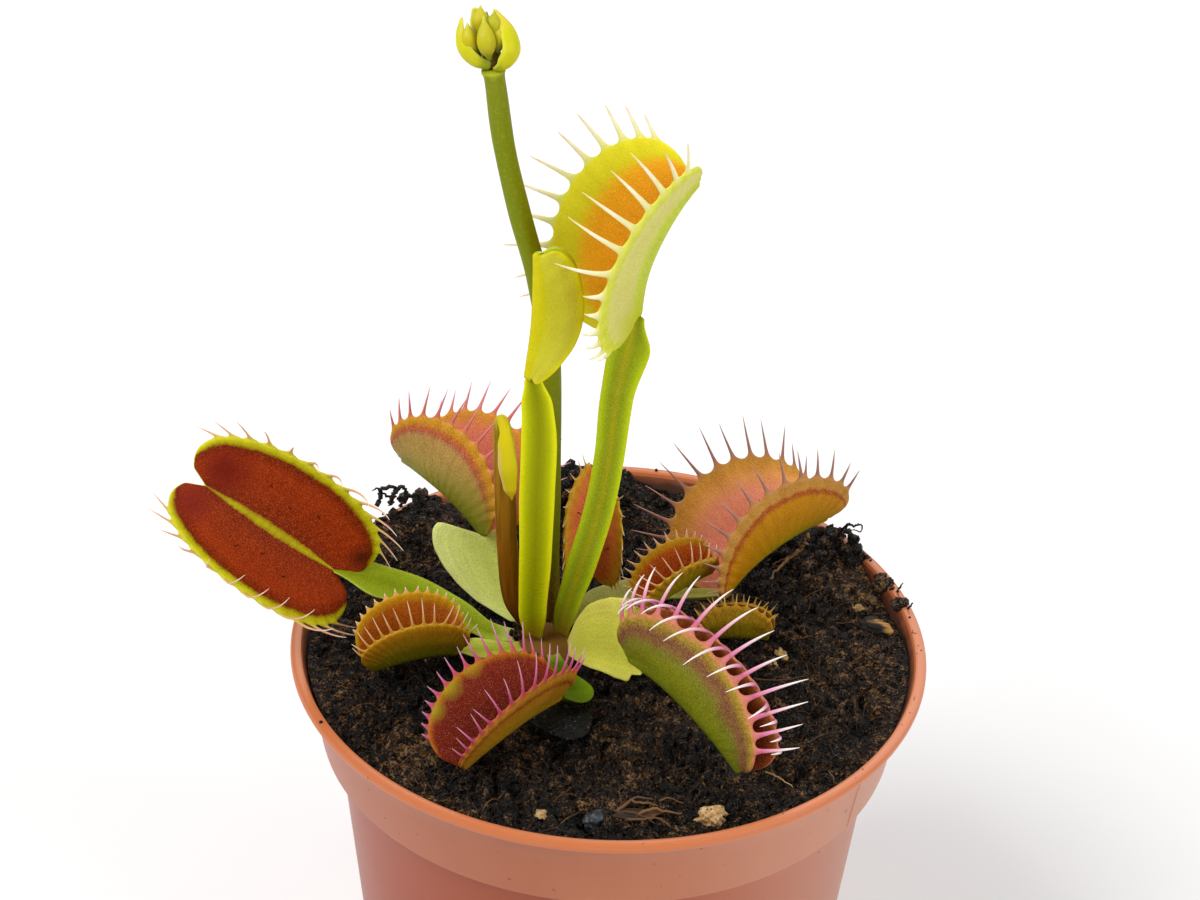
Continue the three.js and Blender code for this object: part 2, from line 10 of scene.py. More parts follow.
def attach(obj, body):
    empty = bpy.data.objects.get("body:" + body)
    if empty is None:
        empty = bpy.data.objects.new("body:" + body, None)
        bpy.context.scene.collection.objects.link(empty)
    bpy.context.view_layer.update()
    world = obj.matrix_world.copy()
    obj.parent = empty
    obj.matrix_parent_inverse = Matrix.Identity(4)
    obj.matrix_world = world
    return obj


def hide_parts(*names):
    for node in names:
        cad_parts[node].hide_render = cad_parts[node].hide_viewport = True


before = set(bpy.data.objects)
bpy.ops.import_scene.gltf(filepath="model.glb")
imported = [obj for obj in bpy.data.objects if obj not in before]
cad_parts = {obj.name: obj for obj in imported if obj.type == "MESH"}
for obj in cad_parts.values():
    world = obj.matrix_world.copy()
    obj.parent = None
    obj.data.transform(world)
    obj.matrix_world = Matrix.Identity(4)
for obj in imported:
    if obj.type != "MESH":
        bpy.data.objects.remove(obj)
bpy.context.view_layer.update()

bl_info = {
    "name": "Potted Venus flytrap",
    "version": (1, 0, 0),
    "blender": (4, 5, 0),
    "location": "3D View > Sidebar > Flytrap",
    "description": "Builds a Venus flytrap with its flower stalk in a round nursery pot",
    "category": "Object",
}

MM = 0.001
FULL_TURN = 2 * math.pi
NOISE_SEED = 7
noise.seed_set(NOISE_SEED)    # without it noise_vector takes its seed from the clock


# ---- leaves: sizes in millimetres, angles in degrees -------------------------------------------
# stalk: path from the crown to the hinge, half widths on the left and right or on both sides, way
# the blade faces, thickness, and how far its wings fold up and sweep ahead.
# trap: hinge from base to tip, way the mouth looks, depth of a lobe, lobe angles at the hinge and
# at the margin, arch of the hinge, length of a lobe past the hinge's middle, teeth a lobe, their
# length and shaft, and length of the trigger hairs. Pairs are for one lobe and the other: how
# tooth length grows and how far the teeth lean inwards, from base to tip.
# look: colours from the hinge to the margin, from root to point of a tooth and across the stalk,
# the stalk's foot, gland dots inside and outside, and patches at (u, v, reach, colour).
# A ramp is written as "place:colour place:colour".

LEAVES = {
    "tall_leaf": dict(
        stalk=dict(points=[(-7, 1.2, 74.8), (-6.1, 1, 80), (-4.2, 0.6, 88), (-2.2, 0.8, 96.7), (-1, 1.2, 105.4),
            (-0.3, 1.6, 115), (0.9, 1.9, 122.8), (2.1, 2, 127.9)], left=[1.1, 1.7, 2.1, 2.1, 2.1, 2.3, 2.6, 1],
            right=[1.1, 1.7, 2.1, 2.1, 2.1, 2.3, 3.2, 1], face=(-0.15, -1, 0.1), thick=1.3, fold=0.15),
        trap=dict(base=(1.9, 2, 127.8), tip=(9.2, 4.9, 147.1), mouth=(-0.87, -0.3, 0.38), depth=14.6, hinge=44,
            margin=46, arch=0.6, reach=0.61, teeth=13, tooth=7.4,
            grow=([0.42, 0.42, 0.35, 0.3, 0.38, 1.25, 1.45, 1.4, 1.4, 1.35, 1.35], 0.92),
            lean=([0.5, 0.95, 0.8, 0.3], 0.25), slip=-1.3, shaft=0.42),
        look=dict(inside="0:b87808 0.1:cc8008 0.6:e29c0c 0.68:e2ac14 0.77:d4cc18 1:e8e428",
            outside="0:b4c408 0.28:bcca10 0.34:ccc85c 0.8:d2ce64 0.87:c8d010 1:dade30",
            tooth="0:dcdc50 0.12:e8e49c 0.6:f4eccc 1:e8d090",
            stalk="0:a49e00 0.3:8c9a00 0.5:94a400 0.8:b0c600 1:ccd808", foot="7a5410", fleck="f0c040",
            dust="e8e4b0", flecks=0.3, mottle=0.55,
            shades=[(0.02, -0.55, 6.5, "b4b80c"), (0.98, -0.4, 3, "b8c020")])),
    "left_leaf": dict(
        stalk=dict(points=[(-13.5, 1.2, 74.1), (-17.3, 0.7, 75.2), (-22, 2.4, 77.4), (-28, 3.6, 79.6),
            (-33.5, 2.4, 82.4), (-39.3, 0.8, 85.3)], left=[1.1, 1.6, 2.2, 2.8, 3.4, 1.1],
            right=[1.1, 1.6, 2, 2.6, 2.6, 1.1], face=(0.2, -0.35, 1), thick=1.3, fold=0.6),
        trap=dict(base=(-39, 0.7, 85), tip=(-56, -3.8, 101.6), mouth=(0.54, -0.77, 0.34), depth=11.1, hinge=82,
            margin=47, arch=0.07, reach=0.68, teeth=13, tooth=6.4, fan=1.5,
            lean=([0.5, 0.8, 1.1, 0.5, -0.1], [0.3, 0.8, 1.3, 1.2, 0.3, -0.2]), shaft=0.2, hairs=1.2),
        look=dict(
            inside="0:b4b80c 0.05:a89408 0.08:742006 0.3:8a2806 0.7:982f0a 0.82:7c2204 0.87:6e2204 "
            "0.9:a08c0a 0.93:bcc40a 1:dcdc20",
            outside="0:8fae0c 0.5:a8b818 0.9:b8c41c 1:d6dc30", tooth="0:ccc820 0.2:dcb070 0.6:e0a890 1:f0dcc8",
            stalk="0:84980e 0.4:94a818 0.8:a0b424 1:b4c848", foot="c0cc70", fleck="d4641c", dust="c8cc60",
            flecks=0.4,
            patches=[(0.14, -0.72, 2.6, "3c1204"), (0.8, -0.5, 5, "6a1408"), (0.85, 0.6, 4, "7a1c14")])),
    "small_left_leaf": dict(
        stalk=dict(points=[(-12.3, -1, 74), (-15.6, -3.6, 75.2), (-18.6, -4.7, 76.1), (-21.2, -5.5, 76.6)],
            half=[1, 1.7, 2, 0.9], face=(0, -0.2, 1), thick=1.1, fold=0.4),
        trap=dict(base=(-20.9, -5.5, 76.4), tip=(-33.2, -9, 75.3), mouth=(-0.1, -0.03, 0.99), depth=9.3,
            hinge=32, margin=18, arch=0.27, reach=0.57, teeth=15, tooth=4.2, grow=(0.22, [0.7, 1.1, 1]),
            lean=(-0.3, 0.35), shaft=0.17),
        look=dict(inside="0:6c2404 0.4:843406 0.82:9c4c06 0.92:b47c0a 1:c0940c",
            outside="0:6c7c08 0.4:8c7c06 0.8:ac7808 1:bc8010", tooth="0:bc9014 0.2:cf9848 0.6:dcb488 1:ecd8bc",
            stalk="0:a4b030 0.5:bcc44c 1:ccd464", foot="b8a850", fleck="d08420", dust="d8a83c", flecks=0.3)),
    "front_leaf": dict(
        stalk=dict(points=[(-7.9, -2.3, 73.9), (-6.4, -7.8, 74.5), (-4.5, -13.2, 75.4), (-6.6, -15.6, 77)],
            left=[0.9, 1.6, 2.8, 1], right=[0.9, 1.6, 3.6, 1], face=(0, -0.15, 1), thick=1.1, fold=0.3),
        trap=dict(base=(-6.4, -15.5, 77), tip=(-19.3, -28.5, 73.9), mouth=(-0.3, 0.07, 0.95), depth=10.3,
            hinge=43, margin=37, arch=0.2, reach=0.57, teeth=15, tooth=6,
            grow=([0.8, 1, 0.55, 0.3, 0.25], [0.8, 1, 1, 0.9]), fan=-0.25, lean=([0.1, 0.3], [0.1, 0.45, 0.5]),
            shaft=0.2),
        look=dict(inside="0:540c0a 0.5:701814 0.88:7c2014 0.94:9c5010 1:b8701c",
            outside="0:a07c10 0.3:b08014 0.66:b87818 0.76:8c440e 0.82:b0641c 0.92:c08c24 1:c0742c",
            tooth="0:b0582c 0.15:b84468 0.6:c8749c 1:dcacc0", stalk="0:4c6806 0.5:567406 1:6a8810",
            foot="98a040", fleck="b8702c", dust="e0b04c", flecks=0.25, dew=0.7,
            patches=[(0.48, -1, 2.2, "a88c18"), (0.58, -1, 2.6, "a09418"), (0.68, -1, 2.2, "a09418")])),
    "front_right_leaf": dict(
        stalk=dict(points=[(-5.7, -1, 74.2), (-3.7, -3.5, 76.3), (-1.7, -5.8, 77.8), (0.5, -7.9, 78.9),
            (2.8, -10, 79.8), (4.8, -12.6, 79.4)], left=[1, 4.4, 6.4, 7.2, 7.8, 8, 7.8, 7, 5.8, 3.6, 0.8],
            right=[1, 2, 2.6, 2.8, 2.9, 3.1, 3.4, 3.6, 3, 1.4, 0.5], face=(-0.79, -0.54, 0.31), thick=1.2,
            fold=0.4, sweep=0.45),
        trap=dict(base=(2.8, -10.1, 79.9), tip=(18.3, -28, 74.5), mouth=(0.32, 0, 0.95), depth=11.7, hinge=37,
            margin=-23, arch=0.36, reach=0.57, teeth=13, tooth=10, lean=(0.75, [1.5, 1.2, 1, 1]), shaft=0.34),
        look=dict(inside="0:7a1a18 0.7:8a2420 1:b05a2a",
            outside="0:7c8a0c 0.45:848812 0.62:7c7a28 0.7:8a6038 0.8:80483c 0.87:947030 0.93:a88c2c 1:d48c5c",
            tooth="0:c87a5a 0.15:c8648a 0.4:e0a0b8 0.7:f4e4e4 1:fcf6f0", stalk="0:c4c448 0.5:d4d450 1:dcd864",
            foot="c4bc58", fleck="c0bc50", dust="c8c460", flecks=0.25, wobble=0.11)),
    "right_leaf": dict(
        stalk=dict(points=[(-5.3, 4.6, 74.2), (-0.8, 8.4, 75), (4, 11.2, 75.5), (10.5, 11, 75.6),
            (16.1, 9.8, 76.9)], left=[1.1, 3.8, 3, 1.2, 0.9], right=[1.1, 3.2, 2.2, 1.1, 0.9],
            face=(0, -0.1, 1), thick=1.2, fold=0.3),
        trap=dict(base=(16.3, 9.7, 77), tip=(31, 20, 84.3), mouth=(-0.52, 0.15, 0.84), depth=15.7, hinge=76,
            margin=9, arch=0.62, reach=0.57, teeth=14, tooth=6.8, grow=([0.7, 0.8], 1), lean=(0.2, 0.05),
            shaft=0.24, hairs=1.6),
        look=dict(inside="0:dc7460 0.4:ec8a74 0.68:ec9674 0.8:e8a45c 0.9:d49838 1:c0902c",
            outside="0:848c00 0.2:a08800 0.5:b88000 0.8:c48404 0.845:a8501c 0.87:a84c1c 0.9:c48c40 1:b8883c",
            tooth="0:b8803a 0.2:a07060 0.6:a07870 1:c09488", stalk="0:a4ac44 0.5:b4b854 1:c4c86c",
            foot="a8a860", fleck="f0a880", dust="e0a838", flecks=0.3)),
    "middle_right_leaf": dict(
        stalk=dict(points=[(-4.6, 2.8, 74.6), (-1.6, 2.9, 75.8), (2, 2.8, 77.6), (5.9, 2.5, 79.5)],
            left=[0.8, 1.5, 1.8, 0.9], right=[0.8, 1.2, 1.4, 0.9], face=(-0.1, -0.2, 1), thick=1.1, fold=0.3),
        trap=dict(base=(5.6, 2.3, 79.4), tip=(14.3, 6.3, 83.7), mouth=(-0.37, -0.17, 0.91), depth=6.6, hinge=37,
            margin=24, arch=0.37, reach=0.57, teeth=13, tooth=4.2, grow=([1, 1.05, 0.7], [0.5, 0.3]),
            lean=(0.55, -0.2), shaft=0.16),
        look=dict(inside="0:741c06 0.5:983208 0.8:ac4a0c 0.9:b07c0c 1:b88c10",
            outside="0:7c8006 0.5:947c08 0.85:a47c0a 1:b8880e",
            tooth="0:b48a14 0.25:cc985c 0.6:dcb494 1:e8d0b8", stalk="0:a0ac30 0.5:b0b83c 1:c0c450",
            foot="b0a850", fleck="d8902c", dust="d8b040", flecks=0.3)),
    "small_right_leaf": dict(
        stalk=dict(points=[(-4.25, 1.1, 73.2), (2, 0, 73.6), (8, 0.8, 74.4), (13.3, 1.7, 75.6)],
            half=[0.8, 1.4, 1.4, 0.8], face=(0, -0.1, 1), thick=1, fold=0.3),
        trap=dict(base=(13.2, 1.5, 75.6), tip=(22.6, 0, 77), mouth=(-0.09, 0.35, 0.93), depth=4.8, hinge=46,
            margin=-24, arch=0.14, reach=0.57, teeth=10, tooth=1.9, lean=(0.2, 0.2), shaft=0.14),
        look=dict(inside="0:5a2a08 1:7a4a0c", outside="0:605c00 0.5:745e04 0.9:8c680a 1:a87414",
            tooth="0:a07814 0.3:b48830 1:c8a460", stalk="0:8ca030 1:a8b044", foot="a8a050", fleck="a88420",
            dust="b89434", flecks=0.3)),
    "back_left_leaf": dict(
        stalk=dict(points=[(-12.6, 4.6, 74.2), (-15.3, 7.2, 77.1), (-17.2, 9.2, 80.9), (-18.2, 10.5, 84.9)],
            left=[1.2, 2.4, 4, 5.5, 6.5, 7.1, 7.2, 6.4, 1], right=[1.2, 2.4, 3.6, 4.4, 4.8, 5, 4.8, 3.6, 1],
            face=(-0.1, -0.75, 0.65), thick=1.2, fold=0.2, sweep=0.8),
        trap=dict(base=(-18.2, 10.7, 85.1), tip=(-30.7, 20.2, 91.6), mouth=(0.56, 0.18, 0.81), depth=14.8,
            hinge=71, margin=3, arch=0.33, reach=0.57, teeth=13, tooth=5.5, lean=(0.05, 0.05), shaft=0.24),
        look=dict(inside="0:c4645c 0.6:cc6858 0.82:cc704c 0.9:c8802c 1:cc8c0c",
            # painted shade: the outside is dark olive at the keel, where the lobe's own shadow falls
            outside="0:7c8404 0.2:9c9414 0.5:b09444 0.78:b48a48 0.84:b0503c 0.89:bc601c 0.93:c48410 1:cc940c",
            tooth="0:c88820 0.15:cc6c60 0.6:d4828c 1:e0acb0", stalk="0:ccd868 0.5:e0ec80 0.9:ecf494 1:f0f89c",
            foot="c4d070", fleck="e89880", dust="d8c080", flecks=0.3,
            # painted shade: dark olive patches at the base end of both lobes
            shades=[(0.1, 0.3, 12, "74760c"), (0.1, -0.3, 12, "74760c")])),
    "back_leaf": dict(
        stalk=dict(points=[(-8.4, 6.5, 74.2), (-6.2, 10.2, 75.6), (-3.2, 11.2, 78.3)], half=[1, 1.3, 0.9],
            face=(0, -0.3, 1), thick=1, fold=0.2),
        trap=dict(base=(-2.9, 11.2, 78.2), tip=(-3.2, 11.7, 96.6), mouth=(0.05, -1, 0.03), depth=6.1, hinge=80,
            margin=10, arch=0.3, reach=0.55, point=0.75, teeth=13, tooth=2.4,
            grow=([0.8, 0.7, 1.6], [0.8, 0.7, 1.6]), lean=(0.2, 0.2), shaft=0.13, hairs=0.8),
        look=dict(inside="0:f09464 0.4:f07850 0.72:e08830 1:dcac20",
            outside="0:e8901c 0.4:ec9c1c 0.75:d0a418 1:d4ac14", tooth="0:c09414 0.3:d4b068 1:f0e0c0",
            stalk="0:989828 1:a8a840", foot="a08c48", fleck="e8a070", dust="e0a050", flecks=0.3)),
    "centre_leaf": dict(
        stalk=dict(points=[(-10.7, 0.4, 74.8), (-10.9, -0.4, 80), (-10.7, -0.8, 90), (-10.7, -1, 100),
            (-10.6, -1, 109), (-10.9, -1, 115), (-11.7, -1.4, 119.6)], left=[1.3, 2, 2.3, 2.5, 2.5, 2.3, 1.2],
            right=[1.3, 2, 2.3, 2.5, 2.5, 2.1, 1.2], face=(-0.1, -1, 0.1), thick=1.4, fold=0.3),
        trap=dict(base=(-12.2, -1.8, 119.4), tip=(-11.5, -2.6, 139.9), mouth=(0.97, 0.1, 0.05), depth=6.7,
            hinge=20, margin=-24, arch=0.08, reach=0.52, slit=0.04, heel=0.55, teeth=0, tooth=0, lean=(0, 0),
            shaft=0),
        look=dict(inside="0:b8c010 1:c8cc20",
            outside="0:d4c804 0.2:d0c808 0.28:d2cc2c 0.8:d2cc38 0.9:dcd414 1:e0d808", tooth="0:b0bc1c 1:c0c830",
            stalk="0:8c9000 0.3:9a9e00 0.6:b4ba02 0.85:dadc08 1:e8e41c", foot="8a5c10", fleck="e0d850",
            dust="dcd46c", flecks=0.1, mottle=0.3)),
}

# what a leaf has when its entry doesn't say
PLAIN_TRAP = dict(grow=(1, 1), slip=0, fan=0, point=0, heel=0, slit=0.25, hairs=0)
PLAIN_LOOK = dict(dew=0, mottle=1, wobble=0.03, patches=(), shades=())


# ---- small tools -----------------------------------------------------------------------------

def deselect_all():
    if bpy.context.mode != "OBJECT":
        bpy.ops.object.mode_set(mode="OBJECT")
    bpy.ops.object.select_all(action="DESELECT")


def use(ob):
    """Makes ob the only selected and the active object."""
    deselect_all()
    ob.select_set(True)
    bpy.context.view_layer.objects.active = ob
    return ob


def added(name):
    """The object that the last operator added, under its new name."""
    ob = bpy.context.active_object
    ob.name = ob.data.name = name
    return ob


@contextmanager
def editing(select=None, kind=None):
    """Edit mode on the active object, with all, none or the same of its mesh selected."""
    bpy.ops.object.mode_set(mode="EDIT")
    if kind:
        bpy.ops.mesh.select_mode(type=kind)
    if select:
        bpy.ops.mesh.select_all(action=select)
    yield
    bpy.ops.object.mode_set(mode="OBJECT")


def extruded(ob):
    """Extrudes what is selected, and says which points are new."""
    with editing():
        bpy.ops.mesh.extrude_region_move()
    new = np.empty(len(ob.data.vertices), bool)
    ob.data.vertices.foreach_get("select", new)
    return new


def points_of(ob):
    co = np.empty(len(ob.data.vertices) * 3, np.float32)
    ob.data.vertices.foreach_get("co", co)
    return co.reshape(-1, 3).astype(float)


def move_points(ob, co):
    ob.data.vertices.foreach_set("co", np.ascontiguousarray(co, np.float32).ravel())
    ob.data.update()


def tag(ob, **layers):
    """Writes numbers for each point, which materials read by name."""
    for name, values in layers.items():
        layer = ob.data.attributes.get(name) or ob.data.attributes.new(name, "FLOAT", "POINT")
        layer.data.foreach_set("value", np.ascontiguousarray(values, np.float32))


def tagged(ob, name):
    values = np.empty(len(ob.data.vertices), np.float32)
    ob.data.attributes[name].data.foreach_get("value", values)
    return values.astype(float)


def counted(ob, *names):
    """Whole numbers that tag wrote."""
    return (np.rint(tagged(ob, name)).astype(int) for name in names)


def modify(ob, kind, **settings):
    """Adds a modifier and applies it."""
    use(ob)
    bpy.ops.object.modifier_add(type=kind)
    made = ob.modifiers[-1]
    for key, value in settings.items():
        setattr(made, key, value)
    bpy.ops.object.modifier_apply(modifier=made.name)
    return ob


def smooth(ob):
    return modify(ob, "SUBSURF", levels=1, render_levels=1)


def merged(ob, distance=1e-6):
    """Points in one place become one, and faces look outwards."""
    use(ob)
    with editing("SELECT"):
        bpy.ops.mesh.remove_doubles(threshold=distance)
        bpy.ops.mesh.normals_make_consistent(inside=False)
    return ob


def joined(parts, name):
    """One object from several, with the first one's place."""
    use(parts[0])
    for part in parts[1:]:
        part.select_set(True)
    bpy.ops.object.join()
    return added(name)


def settle(ob, slot, *nodes, material=None, angle=None):
    """Shades a finished piece and puts it on the body, in place of its CAD nodes."""
    if material:
        ob.data.materials.append(material)
    use(ob)
    if angle is None:
        bpy.ops.object.shade_smooth()
    else:
        bpy.ops.object.shade_smooth_by_angle(angle=math.radians(angle))
    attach(ob, "root")
    if nodes:
        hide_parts(*nodes)
    return ob


def grid(name, columns, rows):
    """A flat sheet of cells, with the column and the row of each of its points."""
    deselect_all()
    bpy.ops.mesh.primitive_grid_add(x_subdivisions=columns, y_subdivisions=rows, size=1)
    ob = added(name)
    co = points_of(ob)
    return ob, *(np.rint((co[:, k] + 0.5) * n).astype(int) for k, n in enumerate((columns, rows)))


def two_skins(name, columns, rows, materials, **rims):
    """A thin closed sheet of cells, with the line and row of each point and which are on the far side."""
    ob, line, row = grid(name, columns, rows)
    for material in materials:
        ob.data.materials.append(material)
    tag(ob, line=line, row=row)
    modify(ob, "SOLIDIFY", thickness=0.1, offset=-1, **rims)
    count = len(ob.data.vertices)
    return ob, *counted(ob, "line", "row"), np.arange(count) >= count // 2


def unit(v):
    return v / np.maximum(np.linalg.norm(v, axis=-1, keepdims=True), 1e-12)


def smoothstep(x):
    x = np.clip(x, 0, 1)
    return x * x * (3 - 2 * x)


def spot(t, count):
    """Which stretch between count even stations each t from 0 to 1 falls in, and how far along it."""
    f = np.clip(np.asarray(t, float), 0, 1) * (count - 1)
    i = np.minimum(f.astype(int), count - 2)
    return i, f - i


def path(points, t):
    """Places on the smooth curve through points, with t from 0 to 1 spread evenly over them."""
    p = np.asarray(points, float)
    ext = np.vstack([2 * p[0] - p[1], p, 2 * p[-1] - p[-2]])
    i, w = spot(t, len(p))
    w = w[:, None]
    a, b, c, d = (ext[i + k] for k in range(4))
    d0, d1, d2 = (np.linalg.norm(q - r, axis=1)[:, None] ** 0.5 for q, r in ((a, b), (b, c), (c, d)))
    s1 = ((b - a) / d0 - (c - a) / (d0 + d1) + (c - b) / d1) * d1
    s2 = ((c - b) / d1 - (d - b) / (d1 + d2) + (d - c) / d2) * d1
    return b + s1 * w + (-3 * b + 3 * c - 2 * s1 - s2) * w ** 2 + (2 * b - 2 * c + s1 + s2) * w ** 3


def along_profile(values, t):
    """A width at t, easing from each listed value to the next."""
    v = np.asarray(values, float)
    i, w = spot(t, len(v))
    return v[i] + (v[i + 1] - v[i]) * smoothstep(w)


def path_frame(points, t, face, nudge=1e-3):
    """Place, direction, side and outward direction of a blade at t."""
    run = unit(path(points, np.minimum(t + nudge, 1)) - path(points, np.maximum(t - nudge, 0)))
    side = unit(np.cross(run, unit(np.asarray(face, float))))
    return path(points, t), run, side, unit(np.cross(side, run))


def tube(name, around, along, points, face, section):
    """A body round a path, closed at both ends. section gives its reach sideways and outwards."""
    ob, column, row = grid(name, around, along)
    a, t = FULL_TURN * column / around, row / along
    at, _, side, out = path_frame(points, t, face)
    body = (row > 0) & (row < along)
    sideways, outwards = (np.where(body, reach, 0)[:, None] for reach in section(a, t))
    move_points(ob, (at + side * sideways + out * outwards) * MM)
    tag(ob, across=0.5 - 0.5 * np.sin(a), along=t)
    return smooth(merged(ob))


# ---- materials -------------------------------------------------------------------------------

def tint(code):
    """A linear colour from a six-figure screen colour."""
    screen = [int(code[k:k + 2], 16) / 255 for k in (0, 2, 4)]
    return tuple(c / 12.92 if c <= 0.04045 else ((c + 0.055) / 1.055) ** 2.4 for c in screen)


def colour_of(value):
    """Four numbers from a colour code, a grey or a colour."""
    if isinstance(value, str):
        return (*tint(value), 1)
    if isinstance(value, (int, float)):
        return (value, value, value, 1)
    return (*tuple(value)[:3], 1)


class Finish:
    """A material and short ways to add nodes to it. through is how light passes the surface:
    its share, the reach of red, green and blue, and the scale in metres."""

    def __init__(self, name, rough, gloss, through=(), **sockets):
        self.material = bpy.data.materials.new(name)
        self.material.use_nodes = True
        self.tree = self.material.node_tree
        self.shader = self.tree.nodes["Principled BSDF"]
        sockets.update(Roughness=rough, Specular_IOR_Level=gloss)
        sockets.update(zip(("Subsurface_Weight", "Subsurface_Radius", "Subsurface_Scale"), through))
        for key, value in sockets.items():
            self.shader.inputs[key.replace("_", " ")].default_value = value
        self.place = self.node("TexCoord").outputs["Object"]

    def put(self, socket, value):
        """Links a socket or sets a number."""
        if isinstance(value, bpy.types.NodeSocket):
            self.tree.links.new(value, socket)
        else:
            socket.default_value = value

    def node(self, kind, inputs=(), **settings):
        made = self.tree.nodes.new("ShaderNode" + kind)
        for key, value in settings.items():
            setattr(made, key, value)
        for key, value in dict(inputs).items():
            self.put(made.inputs[key], value)
        return made

    def layer(self, name):
        return self.node("Attribute", attribute_name=name).outputs["Fac"]

    def math(self, operation, a, b=0.0, c=0.0):
        return self.node("Math", {0: a, 1: b, 2: c}, operation=operation).outputs[0]

    def times(self, a, b, plus=0.0):
        return self.math("MULTIPLY_ADD", a, b, plus)

    def wander(self, value, pattern, amount):
        """The value, carried up and down by a pattern round one half."""
        return self.times(self.math("SUBTRACT", pattern, 0.5), amount, value)

    def axis(self, number, shift=0.0):
        """A coordinate in decimetres."""
        return self.times(self.node("SeparateXYZ", {0: self.place}).outputs[number], 10.0, shift)

    def noise(self, scale, detail=3.0, roughness=0.55, place=None, stretch=None):
        place = place or self.place
        if stretch:
            place = self.node("Mapping", {"Vector": place, "Scale": stretch}).outputs[0]
        settings = {"Vector": place, "Scale": scale, "Detail": detail, "Roughness": roughness}
        return self.node("TexNoise", settings).outputs["Fac"]

    def cells(self, scale):
        return self.node("TexVoronoi", {"Vector": self.place, "Scale": scale}).outputs["Distance"]

    def ramp(self, value, stops):
        """Colours by value, from "place:colour" pairs or a list of stops."""
        if isinstance(stops, str):
            stops = [(float(at), code) for at, code in (pair.split(":") for pair in stops.split())]
        made = self.node("ValToRGB", {"Fac": value})
        slots = made.color_ramp.elements
        while len(slots) < len(stops):
            slots.new(0.5)
        for slot, (at, colour) in zip(slots, stops):
            slot.position, slot.color = at, colour_of(colour)
        return made.outputs["Color"]

    def fade(self, value, start, end, low=0.0, high=1.0):
        """A number that goes from low to high as the value goes from start to end."""
        return self.ramp(value, [(start, low), (end, high)])

    def mix(self, amount, a, b, blend="MIX"):
        made = self.node("Mix", {0: amount}, data_type="RGBA", blend_type=blend)
        for key, value in ((6, a), (7, b)):
            linked = isinstance(value, bpy.types.NodeSocket)
            self.put(made.inputs[key], value if linked else colour_of(value))
        return made.outputs[2]

    def cover(self, colour, mask, amount, over):
        """Lays another colour over this one where the mask says."""
        return self.mix(self.math("MULTIPLY", mask, amount), colour, over)

    def spread(self, value, low, high):
        return self.node("MapRange", {"Value": value, "To Min": low, "To Max": high}).outputs[0]

    def finish(self, colour, height, bump, depth, roughness=None):
        raised = self.node("Bump", {"Height": height, "Strength": bump, "Distance": depth})
        for key, value in (("Base Color", colour), ("Normal", raised.outputs[0]), ("Roughness", roughness)):
            if value is not None:
                self.tree.links.new(value, self.shader.inputs[key])
        return self.material


def flesh(name, stops, fleck, flecks, foot=None, ribs=0.0, dew=0.0, wobble=0.03, patches=(), mottle=1.0):
    """Plant skin: colour across the leaf, gland dots, faint streaks along the veins and small bumps."""
    f = Finish(name, 0.5, 0.08, (0.1, (1.0, 0.5, 0.1), 0.0005))
    across, along, rib = f.layer("across"), f.layer("along"), f.layer("rib")
    broad, fine, grain = f.noise(220, 3), f.noise(2600, 2, 0.6), f.noise(6500, 1, 0.5)
    veins = f.node("CombineXYZ", {"X": f.times(rib, 2.3), "Y": f.times(across, 1.2)}).outputs[0]
    streak = f.noise(2.2, 3, 0.6, veins)
    colour = f.ramp(f.wander(f.wander(across, broad, wobble * 2.2), fine, wobble * 2), stops)
    dark = f.mix(1.0, colour, (0.6, 0.52, 0.4), "MULTIPLY")
    shade = f.math("ADD", f.fade(streak, 0.4, 0.75, 0, 0.25), f.fade(broad, 0.42, 0.7, 0, 0.3))
    shade = f.math("ADD", shade, f.fade(grain, 0.32, 0.56, 0.45, 0))
    colour = f.cover(colour, shade, mottle, dark)
    colour = f.cover(colour, f.fade(grain, 0.5, 0.66), flecks, fleck)
    for centre, reach, patch in patches:
        away = f.node("VectorMath", {0: f.place, 1: tuple(centre)}, operation="DISTANCE").outputs["Value"]
        away = f.wander(f.math("DIVIDE", away, reach), broad, 0.3)
        colour = f.mix(f.fade(away, 0.2, 1.0, 0.8, 0), colour, patch)
    if foot:
        base = f.fade(f.times(broad, 0.1, along), 0.06, 0.22, 1, 0)
        colour = f.cover(colour, base, 0.85, foot)
    if dew:
        colour = f.cover(colour, f.fade(f.cells(3400.0), 0.07, 0.14, 1, 0), dew, "dcc8b0")
    wave = f.math("SINE", f.times(rib, FULL_TURN))
    return f.finish(colour, f.times(wave, ribs, f.times(grain, 0.5, fine)), 0.5, 0.0002)


def bristle(name, stops):
    """The teeth: colour from root to point, with thin darker streaks."""
    f = Finish(name, 0.4, 0.25, (0.25, (1.0, 0.7, 0.4), 0.0004))
    fine = f.noise(1500, 2, 0.5)
    colour = f.ramp(f.wander(f.layer("tooth"), fine, 0.06), stops)
    colour = f.cover(colour, fine, 0.2, f.mix(1.0, colour, (0.75, 0.62, 0.55), "MULTIPLY"))
    return f.finish(colour, fine, 0.2, 0.0001)


# ---- traps -----------------------------------------------------------------------------------

THETA_START, THETA_SPAN = -24.0, 228.0       # sweep of a lobe's edge round its middle, degrees
TEETH_FROM, TEETH_TO = 14.0, 166.0           # part of that sweep with teeth
LOBE_CENTRE = 0.36                           # height of the middle of that sweep, in lobe depths
LOBE_THICK = (0.95, 0.55)                    # at the hinge and at the margin
ROWS = 11                                    # cells from the hinge to the margin
END_CELLS = 4                                # cells at each end without teeth
CELL_EDGES = (0.0, 0.11, 0.37, 0.63, 0.89)   # lines of one tooth's stretch of margin
TOOTH_CELLS = len(CELL_EDGES)
FEWEST = 5                                   # stretches of margin on a trap without teeth
RING_ANGLES = np.radians([157.5, 112.5, 67.5, 22.5])
STAGGER = 0.25                               # teeth of the two lobes pass each other by this pitch
TOOTH_SLOT = 2
